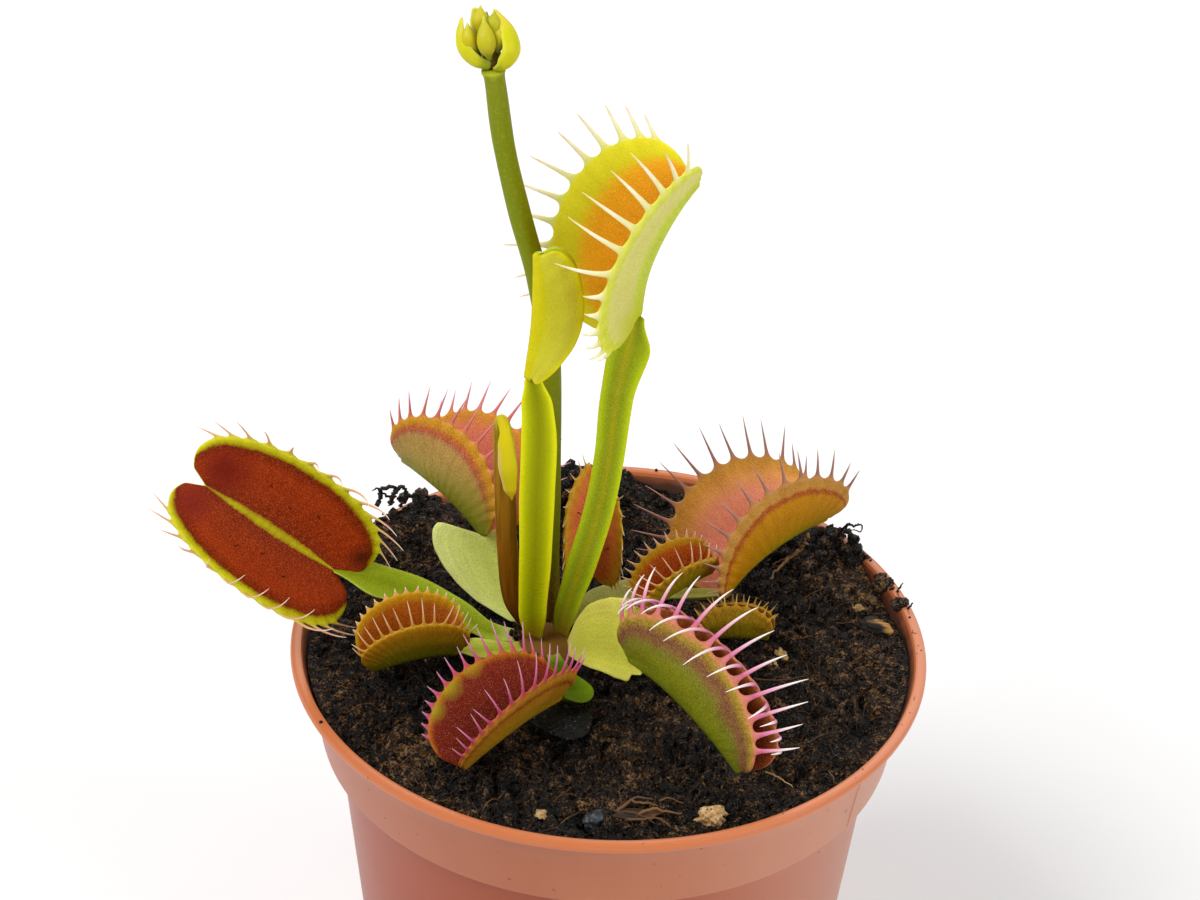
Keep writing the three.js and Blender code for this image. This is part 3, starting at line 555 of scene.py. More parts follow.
# rings of a tooth: distance from the margin, and share of its length
TOOTH_RINGS = ((0.12, 0), (0.35, 0), (0.8, 0), (0, 0.3), (0, 0.55), (0, 0.78), (0, 0.93), (0, 1))
SIDES = (-1.0, 1.0)


class Trap:
    """The surface of one trap's two lobes. u runs along the hinge, v from one margin to the other."""

    def __init__(self, t):
        self.t = t
        self.base = np.array(t["base"], float)
        chord = np.array(t["tip"], float) - self.base
        reach, arch = np.linalg.norm(chord), t["arch"]
        x = chord / reach
        z = np.array(t["mouth"], float)
        z = unit(z - x * (x @ z))
        self.axes = np.array([x, np.cross(z, x), z])
        self.length = reach * arch / (2 * math.sin(arch / 2))
        self.bend = self.length / arch
        self.a0 = math.radians(t["hinge"])
        self.turn = math.radians(t["margin"] - t["hinge"]) / t["depth"]
        self.x0 = self.length / 2 - self.bend * math.sin(arch / 2)
        self.z0 = self.bend * math.cos(arch / 2) - self.bend

    def mid(self, u, v):
        """Points half way through the lobes, in the trap's own frame."""
        t, length = self.t, self.length
        side, w = np.sign(v), np.abs(v)
        theta = np.radians(THETA_START + THETA_SPAN * u)
        along = (1 - w) * u * length + w * (length / 2 - t["reach"] * length * np.cos(theta))
        along = along + np.maximum(side, 0) * w * t["slip"]
        off = t["depth"] * (LOBE_CENTRE + (1 - LOBE_CENTRE) * np.sin(theta)) * w
        for narrower, end in ((t["point"], -np.cos(theta)), (t["heel"], np.cos(theta))):
            off = off * (1 - narrower * np.maximum(end, 0) ** 2)
        a = self.a0 + self.turn * off
        out = side * (math.cos(self.a0) - np.cos(a)) / self.turn
        up = self.bend + (np.sin(a) - math.sin(self.a0)) / self.turn
        g = (along - length / 2) / self.bend
        return np.stack([length / 2 + up * np.sin(g) - self.x0, out,
                         up * np.cos(g) - self.bend - self.z0], -1)

    def normal(self, u, v, e=0.01):
        du = self.mid(np.minimum(u + e, 1), v) - self.mid(np.maximum(u - e, 0), v)
        dv = self.mid(u, np.minimum(v + e, 1)) - self.mid(u, np.maximum(v - e, -1))
        return unit(np.cross(du, dv))

    def skin(self, u, v, outside, ripple):
        """Points of the inner or the outer skin."""
        w = np.abs(v)
        p, n = self.mid(u, v), self.normal(u, v)
        half = (LOBE_THICK[0] + (LOBE_THICK[1] - LOBE_THICK[0]) * w)[:, None] / 2
        inner = p + n * (half + ripple[:, None] * 0.6)
        inner[:, 1] = np.sign(v) * np.maximum(inner[:, 1] * np.sign(v), self.t["slit"] * w)
        floor = self.mid(u, v * 0)[:, 2] + half[:, 0] / max(math.sin(self.a0), 0.4)
        inner[:, 2] = np.where(w < 0.25, np.maximum(inner[:, 2], floor), inner[:, 2])
        keel = 1 + 1.1 * np.exp(-(w / 0.09) ** 2)[:, None]
        outer = p - n * (half * keel + ripple[:, None])
        return np.where(outside[:, None], outer, inner)

    def world(self, local):
        return (self.base + local @ self.axes) * MM


def trap_lines(teeth):
    """Lines across a trap: their places, tooth counts and shares of the stagger, and the pitch."""
    first, last = ((edge - THETA_START) / THETA_SPAN for edge in (TEETH_FROM, TEETH_TO))
    ends = np.linspace(0, 1, END_CELLS + 1)[:-1]
    teeth = max(teeth, FEWEST)
    count = np.array([j + c for j in range(teeth) for c in CELL_EDGES] + [teeth], float)
    u = np.concatenate([first * ends, first + (last - first) * count / teeth, 1 - (1 - last) * ends[::-1]])
    rib = np.concatenate([ends - 1, count, teeth + 1 - ends[::-1]])
    share = np.concatenate([ends, np.ones(len(count)), ends[::-1]])
    return u, rib, share, (last - first) / teeth


def make_trap(name, t, skins, seed):
    shape = Trap(t)
    lines, ribs, share, pitch = trap_lines(t["teeth"])
    ob, line, row, outside = two_skins(name, len(lines) - 1, 2 * ROWS, skins,
                                       material_offset=1, material_offset_rim=TOOTH_SLOT)
    v = (row - ROWS) / ROWS
    v = np.sign(v) * np.abs(v) ** 0.9
    u = np.clip(lines[line] + STAGGER * v * pitch * share[line], 0, 1)
    rib, share = ribs[line], share[line]
    ripple = 0.1 * np.cos(FULL_TURN * (rib - 0.5)) * smoothstep((np.abs(v) - 0.55) * 2.4) * share
    ripple += 0.09 * np.sin(7 * u + 5 * v + seed) * np.sin(11 * v - 3 * u + seed)
    move_points(ob, shape.world(shape.skin(u, v, outside, ripple)))
    tag(ob, shell=outside, across=np.abs(v) * (0.8 + 0.2 * smoothstep(share * 1.3)), along=u, rib=rib,
        tooth=np.zeros(len(u)))
    if t["teeth"]:
        grow_teeth(ob, shape, t, pitch, lines, np.random.default_rng(seed))
    return smooth(ob)


def tooth_course(shape, t, side, pitch, lines, rng):
    """Root, directions, width, length, lean and sway of every tooth of one lobe."""
    teeth, lobe = t["teeth"], SIDES.index(side)
    number, edge = np.arange(teeth), np.full(teeth, side)
    middle = lines[END_CELLS] + (number + 0.5 + STAGGER * side) * pitch
    root = shape.mid(middle, edge)
    out = unit(root - shape.mid(middle, edge * 0.85))
    run = unit(shape.mid(middle + 0.01, edge) - shape.mid(middle - 0.01, edge))
    stretch = shape.mid(middle + pitch * 0.39, edge) - shape.mid(middle - pitch * 0.39, edge)
    place = (2 * number + 0.5 + lobe) / (2 * teeth)

    def listed(values):
        values = np.atleast_1d(values)
        return np.interp(place, np.linspace(0, 1, len(values)), values)

    size = t["tooth"] * (0.55 + 0.45 * np.sin(np.pi * place)) * rng.uniform(0.9, 1.06, teeth)
    size *= listed(t["grow"][lobe])
    lean = listed(t["lean"][lobe]) + rng.normal(0, 0.07, teeth)
    fan = 2 * place - 1
    return dict(out=out, run=run, inward=unit(np.cross(run, out) * side), at=root, size=size, lean=lean,
                width=np.linalg.norm(stretch, axis=1) / 2, gone=np.zeros(teeth),
                sway=rng.normal(0, 0.08, teeth) + t["fan"] * fan * np.abs(fan) ** 0.5)


def grow_teeth(ob, shape, t, pitch, lines, rng):
    """Draws every tooth out of its stretch of the margin, ring after ring."""
    use(ob)
    with editing("DESELECT", "FACE"):
        pass
    line, row = counted(ob, "line", "row")
    for face in ob.data.polygons:
        rows = {row[i] for i in face.vertices}
        cell = min(line[i] for i in face.vertices) - END_CELLS
        if (face.material_index == TOOTH_SLOT and len(rows) == 1 and rows <= {0, 2 * ROWS}
                and 0 <= cell < TOOTH_CELLS * t["teeth"] and cell % TOOTH_CELLS in (1, 2, 3)):
            face.select = True
    rings = [(tooth_course(shape, t, side, pitch, lines, rng), side, margin)
             for side, margin in zip(SIDES, (0, 2 * ROWS))]
    reach = min(1.0, t["tooth"] / 6)
    for near, share in TOOTH_RINGS:
        new = np.flatnonzero(extruded(ob))
        line, row, shell = (layer[new] for layer in counted(ob, "line", "row", "shell"))
        cell, turn = line - END_CELLS, np.where(shell > 0, -1.0, 1.0)
        co, grown = points_of(ob), tagged(ob, "tooth")
        for r, side, margin in rings:
            far = np.minimum(near * reach + share * r["size"], r["size"])
            halfway = (r["gone"] + far) / 2 / r["size"]
            tilt = (r["lean"] * (0.45 + 1.1 * halfway))[:, None]
            heading = unit(np.cos(tilt) * r["out"] + np.sin(tilt) * r["inward"]
                           + r["sway"][:, None] * r["run"])
            r["at"] = r["at"] + heading * (far - r["gone"])[:, None]
            r["gone"] = far
            part = far / r["size"]
            shaft = t["shaft"] * (1 - 0.9 * part ** 1.7)
            half = shaft + np.maximum(r["width"] - t["shaft"], 0) * np.exp(-far / (0.34 * reach))
            deep = np.minimum(LOBE_THICK[1] / 2, shaft + 0.02) * 0.95
            thick = unit(np.cross(heading, r["run"]) * -side)
            mine = row == margin
            number, angle = cell[mine] // TOOTH_CELLS, RING_ANGLES[cell[mine] % TOOTH_CELLS - 1]
            across = (half[number] * np.cos(angle))[:, None] * r["run"][number]
            through = (deep[number] * turn[mine] * np.sin(angle))[:, None] * thick[number]
            co[new[mine]] = shape.world(r["at"][number] + across + through)
            grown[new[mine]] = part[number]
        move_points(ob, co)
        tag(ob, tooth=grown)
    for face in ob.data.polygons:
        if any(grown[i] > 0 for i in face.vertices):
            face.material_index = TOOTH_SLOT


def make_hairs(name, t, skin):
    """Three trigger hairs on the inside of each lobe."""
    shape, parts = Trap(t), []
    for side in SIDES:
        for u, w in ((0.4, 0.5), (0.5, 0.36), (0.6, 0.5)):
            u, v = np.array([u]), np.array([side * w])
            foot = shape.world(shape.skin(u, v, np.array([False]), np.zeros(1)))[0]
            up = Vector((shape.normal(u, v) @ shape.axes)[0])
            deselect_all()
            bpy.ops.mesh.primitive_cone_add(
                vertices=6, radius1=0.11 * MM, radius2=0.03 * MM, depth=t["hairs"] * MM,
                location=Vector(foot) + up * t["hairs"] * MM * 0.45,
                rotation=up.to_track_quat("Z", "Y").to_euler())
            parts.append(added(name))
    ob = joined(parts, name)
    ob.data.materials.append(skin)
    bpy.ops.object.transform_apply(location=True, rotation=True, scale=True)
    return ob


BLADE_STEPS, BLADE_CELLS = 6, 8              # cells from each point of the path to the next, and across


def make_blade(name, s, skin):
    """A stalk with wings: a sheet along its path, folded up a little, with a midrib below."""
    stations, cells = BLADE_STEPS * (len(s["points"]) - 1), BLADE_CELLS
    ob, line, row, below = two_skins(name, stations, cells, [skin])
    t, a = line / stations, row / cells * 2 - 1
    edge = np.abs(a)
    at, run, side, out = path_frame(s["points"], t, s["face"])
    wide = np.where(a < 0, *(along_profile(s.get(key) or s["half"], t) for key in ("left", "right"))) * a
    lift, wave = s["fold"] * edge ** 1.5, 0.06 * np.sin(9 * t + 4 * a) * edge
    top = lift + s["thick"] * (0.25 - 0.12 * edge ** 2) + wave
    low = lift - s["thick"] * (0.75 * np.exp(-(a / 0.38) ** 2) + 0.12) + wave
    height, ahead = np.where(below, low, top), np.abs(wide) * s.get("sweep", 0)
    move_points(ob, (at + run * ahead[:, None] + side * wide[:, None] + out * height[:, None]) * MM)
    tag(ob, across=edge, along=t, rib=a * 3)
    return smooth(merged(ob, 1e-7))


def make_leaf(name, spec, seed):
    trap, look = {**PLAIN_TRAP, **spec["trap"]}, {**PLAIN_LOOK, **spec["look"]}
    shape = Trap(trap)

    def skin(part, fleck, flecks, spots=(), **more):
        patches = [(shape.world(shape.mid(np.array([u]), np.array([v])))[0], reach * MM, colour)
                   for u, v, reach, colour in spots]
        return flesh(f"{name}_{part}", look[part], fleck, flecks, patches=patches, mottle=look["mottle"],
                     **more)

    dust, flecks = look["dust"], look["flecks"]
    skins = [skin("inside", look["fleck"], flecks, look["patches"], ribs=0.2, dew=look["dew"]),
             skin("outside", dust, flecks, look["shades"], ribs=0.2, wobble=look["wobble"]),
             bristle(name + "_teeth", look["tooth"])]
    parts = [make_trap(name + "_trap", trap, skins, seed)]
    stalk = skin("stalk", dust, flecks * 0.25, foot=look["foot"], wobble=0.04)
    parts.append(make_blade(name + "_blade", spec["stalk"], stalk))
    if trap["hairs"]:
        parts.append(make_hairs(name + "_hairs", trap, bristle(name + "_hair", "0:3a1410 1:5a2018")))
    ob = joined(parts, name + "_shape")
    for spare in ("line", "row", "shell"):
        ob.data.attributes.remove(ob.data.attributes[spare])
    return settle(ob, name + "_skin", name)


# The youngest leaf: up its stalk, over the bent tip and down the closed trap, with half widths and
# how round it is
YOUNG_PATH = [(-11.8, 3.5, 75), (-13.8, 2.5, 80), (-14.8, 2, 90), (-15.3, 2, 100), (-15.7, 1.9, 106),
              (-16.1, 1.6, 109.6), (-15.8, 0.8, 111.3), (-15.25, 0, 110), (-15.1, -0.4, 107.6),
              (-14.8, -0.6, 104.6), (-14.45, -0.5, 101.2), (-14.15, -0.4, 98.7)]
YOUNG_HALF = [1.2, 1.4, 1.45, 1.45, 1.25, 0.85, 0.75, 0.85, 1.2, 1.38, 1.05, 0.1]
YOUNG_ROUND = [0.6, 0.6, 0.6, 0.6, 0.65, 0.8, 0.9, 0.9, 0.85, 0.85, 0.85, 0.85]


def make_young_leaf(name):
    """The youngest leaf, with its trap still shut and hanging from the bent tip of the stalk."""
    def section(a, t):
        trap = smoothstep((t - 0.62) / 0.06)
        half = along_profile(YOUNG_HALF, t) * (1 + (1 - trap) * 0.06 * np.cos(7 * a))
        slit = 1 - trap * 0.16 * np.exp(-((a - 0.75 * np.pi) / 0.12) ** 2)
        return half * along_profile(YOUNG_ROUND, t) * np.cos(a) * slit, half * np.sin(a) * slit

    ob = tube(name + "_shape", 28, 110, YOUNG_PATH, (1, 0, 0), section)
    f = Finish(name + "_skin", 0.45, 0.15, (0.12, (1, 0.6, 0.1), 0.0006))
    along, fine = f.layer("along"), f.noise(2600, 2, 0.6)
    stripes = f.noise(1300, 3, 0.6, stretch=(1, 1, 0.06))
    colour = f.ramp(f.wander(along, fine, 0.05), "0.03:5a2a10 0.12:844c0a 0.3:9c7006 0.44:a88c06 "
                    "0.54:c0b008 0.62:d0be04 0.85:c8ba08 1:c4a818")
    stalk = f.fade(along, 0.46, 0.56, 1, 0)
    colour = f.cover(colour, f.fade(stripes, 0.45, 0.6, 0, 0.5), stalk, "4c3804")
    edge = f.fade(f.layer("across"), 0.76, 0.84, 0, 0.7)
    colour = f.cover(colour, edge, f.fade(along, 0.7, 0.76), "d0b468")
    skin = f.finish(colour, f.times(stripes, stalk, fine), 0.4, 0.00015)
    return settle(ob, name + "_skin", name, material=skin)


# ---- pot: distances from the upright axis and heights ------------------------------------------

POT_OUTSIDE = [
    (0, 0.9), (26.6, 0.9), (27.6, 0), (30.9, 0), (31.7, 0.4), (32, 1.4), (33.4, 14.4), (35.9, 37.4),
    (38.4, 60.2), (38.55, 60.8), (39.1, 61.15), (40.4, 61.3), (40.8, 61.6), (40.95, 62.2), (42, 68.6),
    (42.9, 72), (43.25, 72.8), (43.45, 73.15), (44.15, 73.2), (44.45, 73.35), (44.55, 73.6),
    (44.85, 73.75), (45, 74.1), (45, 74.55), (44.8, 74.88), (44.4, 75), (43.85, 75), (43.5, 74.85),
    (43.3, 74.4),
]
POT_INSIDE = [(42.75, 72.8), (41, 69), (39.9, 62), (37.6, 60.2), (31, 2.2), (30.2, 1.8), (0, 1.8)]
POT_STEPS = 160
DRAIN_HOLES, DRAIN_RADIUS, DRAIN_CIRCLE = 6, 3.5, 20.0
INSIDE_FROM, INSIDE_TO = 0.0015, 0.0744      # heights between which the pot has its inner finish, metres
SEAM_ANGLE, SEAM_HALF = math.radians(-34.2), 0.0042
SEAM_LOW, SEAM_HIGH, SEAM_CELLS = 61.9, 72.6, 24


def spun(name, profile, steps):
    """A round body: one point is drawn out along the profile and spun about the upright axis."""
    deselect_all()
    bpy.ops.mesh.primitive_plane_add(size=MM)
    ob = added(name)
    with editing("SELECT"):
        bpy.ops.mesh.merge(type="CENTER")
        bpy.ops.transform.translate(value=(profile[0][0] * MM, 0, profile[0][1] * MM))
        for (r0, z0), (r1, z1) in zip(profile, profile[1:]):
            step = ((r1 - r0) * MM, 0, (z1 - z0) * MM)
            bpy.ops.mesh.extrude_vertices_move(TRANSFORM_OT_translate={"value": step})
        bpy.ops.mesh.select_all(action="SELECT")
        bpy.ops.mesh.spin(steps=steps, angle=FULL_TURN, center=(0, 0, 0), axis=(0, 0, 1))
    return merged(ob)


def pot_plastic(look):
    f = Finish("pot_plastic", 0.36, 0.3, (0.08, (1.0, 0.4, 0.2), 0.0012), Coat_Weight=0.04,
               Coat_Roughness=0.3)
    broad, fine = f.noise(38, 3), f.noise(3200, 2, 0.6)
    streaks = f.noise(60, 3, 0.6, stretch=(1, 1, 0.12))
    colour = f.ramp(f.times(streaks, 0.5, f.times(broad, 0.5)), [(0.3, look.pot_deep), (0.7, look.pot_pale)])
    # painted light: the wall below the collar is painted deeper, for the light through its thin wall; painted
    # shade deepens the left side and a painted sheen pales the right side
    height, x = f.axis(2), f.axis(0, 0.5)
    deep = f.math("ADD", f.fade(height, 0.608, 0.616, 0.62, 0), f.fade(x, 0.12, 0.55, 0.38, 0))
    # painted light and shade: deeper below the collar and towards the left side
    colour = f.mix(deep, colour, "963a12")
    # painted sheen: the right side paler and pinker
    colour = f.mix(f.fade(x, 0.6, 0.95, 0, 0.5), colour, "c4947c")
    # painted glow: the lip band is painted a brighter orange for the light that passes through it
    colour = f.cover(colour, f.fade(height, 0.729, 0.7335), 0.8, look.lip)
    colour = f.cover(colour, f.fade(f.noise(900, 1, 0.4), 0.77, 0.785), 0.6, "3a2418")
    return f.finish(colour, fine, 0.12, 0.00008, f.spread(broad, 0.3, 0.42))


def pot_inner_plastic(look):
    f = Finish("pot_inner_plastic", 0.5, 0.4)
    broad, fine = f.noise(300, 4, 0.6), f.noise(2000, 2)
    # darker inside than outside: partly soil dirt, partly painted shade inside the pot
    colour = f.ramp(f.noise(60, 3), [(0.3, "8a4526"), (0.7, look.pot_deep)])
    # soil stain and painted shade: the wall is darkened up to just under the rim
    stain_and_shade = f.fade(f.times(broad, 0.02, f.axis(2)), 0.742, 0.754, 0.85, 0)
    colour = f.mix(stain_and_shade, colour, "2a1a10")
    return f.finish(colour, fine, 0.2, 0.0001, f.spread(broad, 0.4, 0.7))


def make_pot(sizes, look):
    ob = spun("pot_body", POT_OUTSIDE + POT_INSIDE, POT_STEPS)
    ob.data.materials.append(pot_plastic(look))
    ob.data.materials.append(pot_inner_plastic(look))
    deselect_all()
    cutters = []
    for k in range(DRAIN_HOLES):
        a = FULL_TURN * k / DRAIN_HOLES
        at = (DRAIN_CIRCLE * math.cos(a) * MM, DRAIN_CIRCLE * math.sin(a) * MM, 0)
        bpy.ops.mesh.primitive_cylinder_add(vertices=32, radius=DRAIN_RADIUS * MM, depth=8 * MM, location=at)
        cutters.append(added("drain_cutter"))
    cutter = joined(cutters, "drain_cutter")
    bpy.ops.object.transform_apply(location=True, rotation=True, scale=True)
    modify(ob, "BOOLEAN", operation="DIFFERENCE", object=cutter, solver="EXACT")
    bpy.data.objects.remove(cutter)
    for face in ob.data.polygons:
        c, n = face.center, face.normal
        inwards = (n.x * c.x + n.y * c.y) < -0.3 * math.hypot(c.x, c.y)
        face.material_index = int(INSIDE_FROM < c.z < INSIDE_TO and inwards)
    # mould line down the collar
    ridge, column, row = grid("mould_line", 2, SEAM_CELLS)
    ridge.data.materials.append(ob.data.materials[0])
    profile = np.array([(r, z) for r, z in POT_OUTSIDE if 61.5 < z < 73])
    z = SEAM_LOW + (SEAM_HIGH - SEAM_LOW) * row / SEAM_CELLS
    r = np.interp(z, profile[:, 1], profile[:, 0]) + np.where(column == 1, sizes.mould_line * 1000, -0.05)
    a = SEAM_ANGLE + (column - 1) * SEAM_HALF
    move_points(ridge, np.stack([r * np.cos(a), r * np.sin(a), z], -1) * MM)
    modify(ridge, "SOLIDIFY", thickness=0.0002, offset=-1)
    return settle(joined([ob, ridge], "pot_shape"), "pot_plastic", "nursery_pot", angle=32)


# ---- soil ------------------------------------------------------------------------------------

SOIL_LEVEL = 72.2
SOIL_GAP = 0.15                              # between the soil and the wall
SOIL_RINGS = (68.5, 61.5, 60.0, 2.4)         # heights of the rings down the side
# mounds: place, reach, height
MOUNDS = [
    (-31, 28, 9, 4.2), (-4, 41, 8, 4.4), (0, -38, 16, 1.0), (-38, -6, 12, 1.2),
    (42, 2, 10, 0.9), (33, 27, 9, 3.6), (30, -22, 12, 0.6), (-12, -24, 9, -0.5),
]
# heaps of crumbs against the wall: place, reach, height, count
HEAPS = [(-31.5, 30.5, 6.5, 3.0, 300), (34.5, 26.5, 5.0, 2.8, 200), (-4, 41, 7.0, 2.2, 160),
         (40.0, 17.2, 2.2, 0.8, 30), (42.2, 12.6, 1.3, 0.4, 12)]
HEAP_FOOT = 74.6
LIP_CRUMBS = 30


def mound(x, y):
    return SOIL_LEVEL + sum(h * np.exp(-((x - mx) ** 2 + (y - my) ** 2) / (r * r)) for mx, my, r, h in MOUNDS)


def wall_radius(z):
    inside = np.array(POT_INSIDE[::-1][1:])
    return np.interp(z, inside[:, 1], inside[:, 0])


def peat_height(x, y):
    """Height of the soil's rough top at one place, in millimetres."""
    p = Vector((x, y, 3.7))
    h = 1.5 * noise.fractal(p / 7.5, 1.0, 2.0, 3)
    for size, rise in ((4.6, 2.5), (2.3, 2.4), (1.15, 1.5)):
        warp = noise.noise_vector(p / size * 0.9) * 0.4
        near = noise.voronoi(p / size + warp)[0][0]
        h += rise * (0.42 - near) * (0.75 + 0.9 * noise.noise(p / 6 + Vector((9, 2, 0))))
    h += 0.42 * noise.fractal(p / 0.6, 0.6, 2.1, 2) + 0.6
    edge = min(1.0, max(0.25, (43 - math.hypot(x, y)) / 6))
    return float(mound(x, y)) + h * edge


def peat(name):
    """Damp peat: nearly black brown with paler crumbs, and wet spots that shine."""
    f = Finish(name, 0.5, 0.45)
    broad, crumb, fine = f.noise(100, 3, 0.5), f.noise(800, 4, 0.7), f.noise(2800, 3, 0.75)
    mixed = f.times(fine, 0.5, f.times(crumb, 0.45, f.times(broad, 0.22)))
    mixed = f.times(f.math("SUBTRACT", mixed, 0.619), 2.1, 0.565)
    # tone is painted shade in the soil's hollows, and a random tone on crumbs
    colour = f.ramp(f.times(f.layer("tone"), 0.5, mixed),
                    "0.49:030201 0.545:170d06 0.585:3a2414 0.635:704c2c 0.69:a87c4c 0.8:d0a468")
    # pale dots: partly tan grains, partly painted glints of wet peat
    colour = f.mix(f.fade(f.noise(3600, 1, 0.4), 0.66, 0.72, 0, 0.6), colour, "b48c64")
    rough = f.fade(f.noise(1300, 3, 0.6), 0.46, 0.56, 0.14, 0.95)
    return f.finish(colour, f.times(crumb, 1.1, fine), 1.0, 0.0032, rough)


def make_soil(sizes):
    """The soil: a square sheet of cells made round, roughened, and closed down to the pot's floor."""
    n = sizes.soil_cells
    ob, column, row = grid("soil_shape", n, n)
    x, y = 2 * column / n - 1, 2 * row / n - 1
    wide = np.abs(x) > np.abs(y)
    with np.errstate(divide="ignore", invalid="ignore"):
        r = np.where(wide, x, y)
        a = np.where(wide, math.pi / 4 * y / x, math.pi / 2 - math.pi / 4 * x / y)
    a, way = np.where(r == 0, 0, a), np.sign(np.where(r == 0, 1, r))
    ca, sa = np.cos(a) * way, np.sin(a) * way
    edge = wall_radius(mound(42 * ca, 42 * sa)) - SOIL_GAP
    x, y = np.abs(r) * edge * ca, np.abs(r) * edge * sa
    move_points(ob, np.stack([x, y, [peat_height(float(p), float(q)) for p, q in zip(x, y)]], -1) * MM)
    use(ob)
    with editing("DESELECT", "EDGE"):
        bpy.ops.mesh.select_non_manifold(extend=False)
    for level in SOIL_RINGS:
        new = extruded(ob)
        co = points_of(ob)
        angle = np.arctan2(co[new, 1], co[new, 0])
        wall = (wall_radius(level) - SOIL_GAP) * MM
        co[new] = np.stack([wall * np.cos(angle), wall * np.sin(angle), np.full(new.sum(), level * MM)], -1)
        move_points(ob, co)
    with editing():
        bpy.ops.mesh.edge_face_add()
        bpy.ops.mesh.select_all(action="SELECT")
        bpy.ops.mesh.normals_make_consistent(inside=False)
    # painted shade: the hollows are darker than the knobs, and the soil is lighter towards its left and right
    # edges
    co = points_of(ob) / MM
    rise = co[:, 2] - mound(co[:, 0], co[:, 1]) - 0.3
    tag(ob, tone=np.clip(rise * 0.1 + 0.02 * np.abs(co[:, 0]) / 10, -0.2, 0.15))
    return settle(ob, "damp_peat", "soil", material=peat("damp_peat"))


def crumb_shapes(seed):
    """Three rough lumps of 24 faces, each a cube cut once, rounded and roughened."""
    shapes = []
    for k in range(3):
        deselect_all()
        bpy.ops.mesh.primitive_cube_add(size=1.6)
        ob = added("crumb")
        with editing("SELECT"):
            bpy.ops.mesh.subdivide(number_cuts=1)
            bpy.ops.transform.tosphere(value=0.9)
            bpy.ops.transform.vertex_random(offset=0.3, uniform=0.4, normal=0.4, seed=seed + k)
        shapes.append((points_of(ob), [tuple(p.vertices) for p in ob.data.polygons]))
        bpy.data.objects.remove(ob)
    return shapes


def gathered(name, pieces):
    """One mesh from many (points in millimetres, faces, tone)."""
    points, faces, tones, start = [], [], [], 0
    for co, quads, tone in pieces:
        points.append(co * MM)
        faces += [tuple(i + start for i in q) for q in quads]
        tones.append(np.full(len(co), tone))
        start += len(co)
    mesh = bpy.data.meshes.new(name)
    mesh.from_pydata(np.concatenate(points).tolist(), [], faces)
    ob = bpy.data.objects.new(name, mesh)
    bpy.context.scene.collection.objects.link(ob)
    tag(ob, tone=np.concatenate(tones))
    return ob


def scattered(rng, reach, cx=0.0, cy=0.0):
    """A random place in a round patch, and how far out it is, from 0 to 1."""
    r, a = math.sqrt(rng.random()), rng.random() * FULL_TURN
    return cx + reach * r * math.cos(a), cy + reach * r * math.sin(a), r


def turned(rng):
    """A random rotation."""
    q = rng.normal(size=4)
    w, x, y, z = q / np.linalg.norm(q)
    return np.array([[1 - 2 * (y * y + z * z), 2 * (x * y - z * w), 2 * (x * z + y * w)],
                     [2 * (x * y + z * w), 1 - 2 * (x * x + z * z), 2 * (y * z - x * w)],
                     [2 * (x * z - y * w), 2 * (y * z + x * w), 1 - 2 * (x * x + y * y)]])


def make_crumbs(sizes):
    rng = np.random.default_rng(11)
    shapes, pieces = crumb_shapes(5), []

    def crumb(size, stretched=True):
        co, quads = shapes[rng.integers(3)]
        if stretched:
            co = co * rng.uniform(0.65, 1.25, 3)
        return co @ turned(rng).T * size, quads

    def shade(middle, spread):
        return float(np.clip(rng.normal(middle, spread), -0.15, 0.3))

    for _ in range(sizes.crumbs):
        x, y, r = scattered(rng, 42.0)
        size = 0.14 + 0.8 * rng.random() ** 4.5
        if 42.0 * r + size <= 41.9:
            co, quads = crumb(size)
            z = peat_height(x, y) + size * rng.uniform(-0.1, 0.35)
            pieces.append((co + (x, y, z), quads, shade(0, 0.09)))
    for cx, cy, wide, high, count in HEAPS:
        for _ in range(count):
            x, y, r = scattered(rng, wide, cx, cy)
            if math.hypot(x, y) <= 44.2:
                co, quads = crumb(0.25 + 0.75 * rng.random() ** 2.5)
                z = HEAP_FOOT + high * (1 - r * r) * rng.random()
                pieces.append((co + (x, y, z), quads, shade(-0.03, 0.08)))
    for _ in range(LIP_CRUMBS):
        a = rng.normal(0.15, 0.5) if rng.random() < 0.6 else rng.random() * FULL_TURN
        size = 0.06 + 0.26 * rng.random() ** 3
        co, quads = crumb(size, stretched=False)
        r = rng.uniform(43.6, 44.4)
        pieces.append((co + (r * math.cos(a), r * math.sin(a), 75 + size * 0.4), quads, 0.0))
    return settle(gathered("soil_crumbs", pieces), "damp_peat", material=peat("peat_crumb"))


def strand(points, radius, sides=3, tip=0.35):
    """Points and faces of a thin tapering strand through points."""
    p = np.asarray(points, float)
    run = unit(np.gradient(p, axis=0))
    side = unit(np.cross(run, unit(np.array([0.31, 0.2, 0.93]))))
    up = np.cross(side, run)
    n, rings = len(p), []
    for k in range(sides):
        a = FULL_TURN * k / sides
        taper = radius * (1 - (1 - tip) * np.linspace(0, 1, n))[:, None]
        rings.append(p + taper * (math.cos(a) * side + math.sin(a) * up))
    last = (n - 1) * sides
    faces = [(i + k, i + (k + 1) % sides, i + sides + (k + 1) % sides, i + sides + k)
             for i in range(0, last, sides) for k in range(sides)]
    faces += [tuple(range(sides))[::-1], tuple(range(last, last + sides))]
    return np.stack(rings, 1).reshape(-1, 3), faces


def fibre_finish():
    f = Finish("peat_fibre", 0.6, 0.4)
    value = f.times(f.noise(900, 3, 0.6), 0.2, f.layer("tone"))
    colour = f.ramp(value, "0.1:120a05 0.45:332012 0.7:604022 0.9:8c6434 1:b8935c")
    return f.finish(colour, f.noise(2500, 2), 0.4, 0.0001)


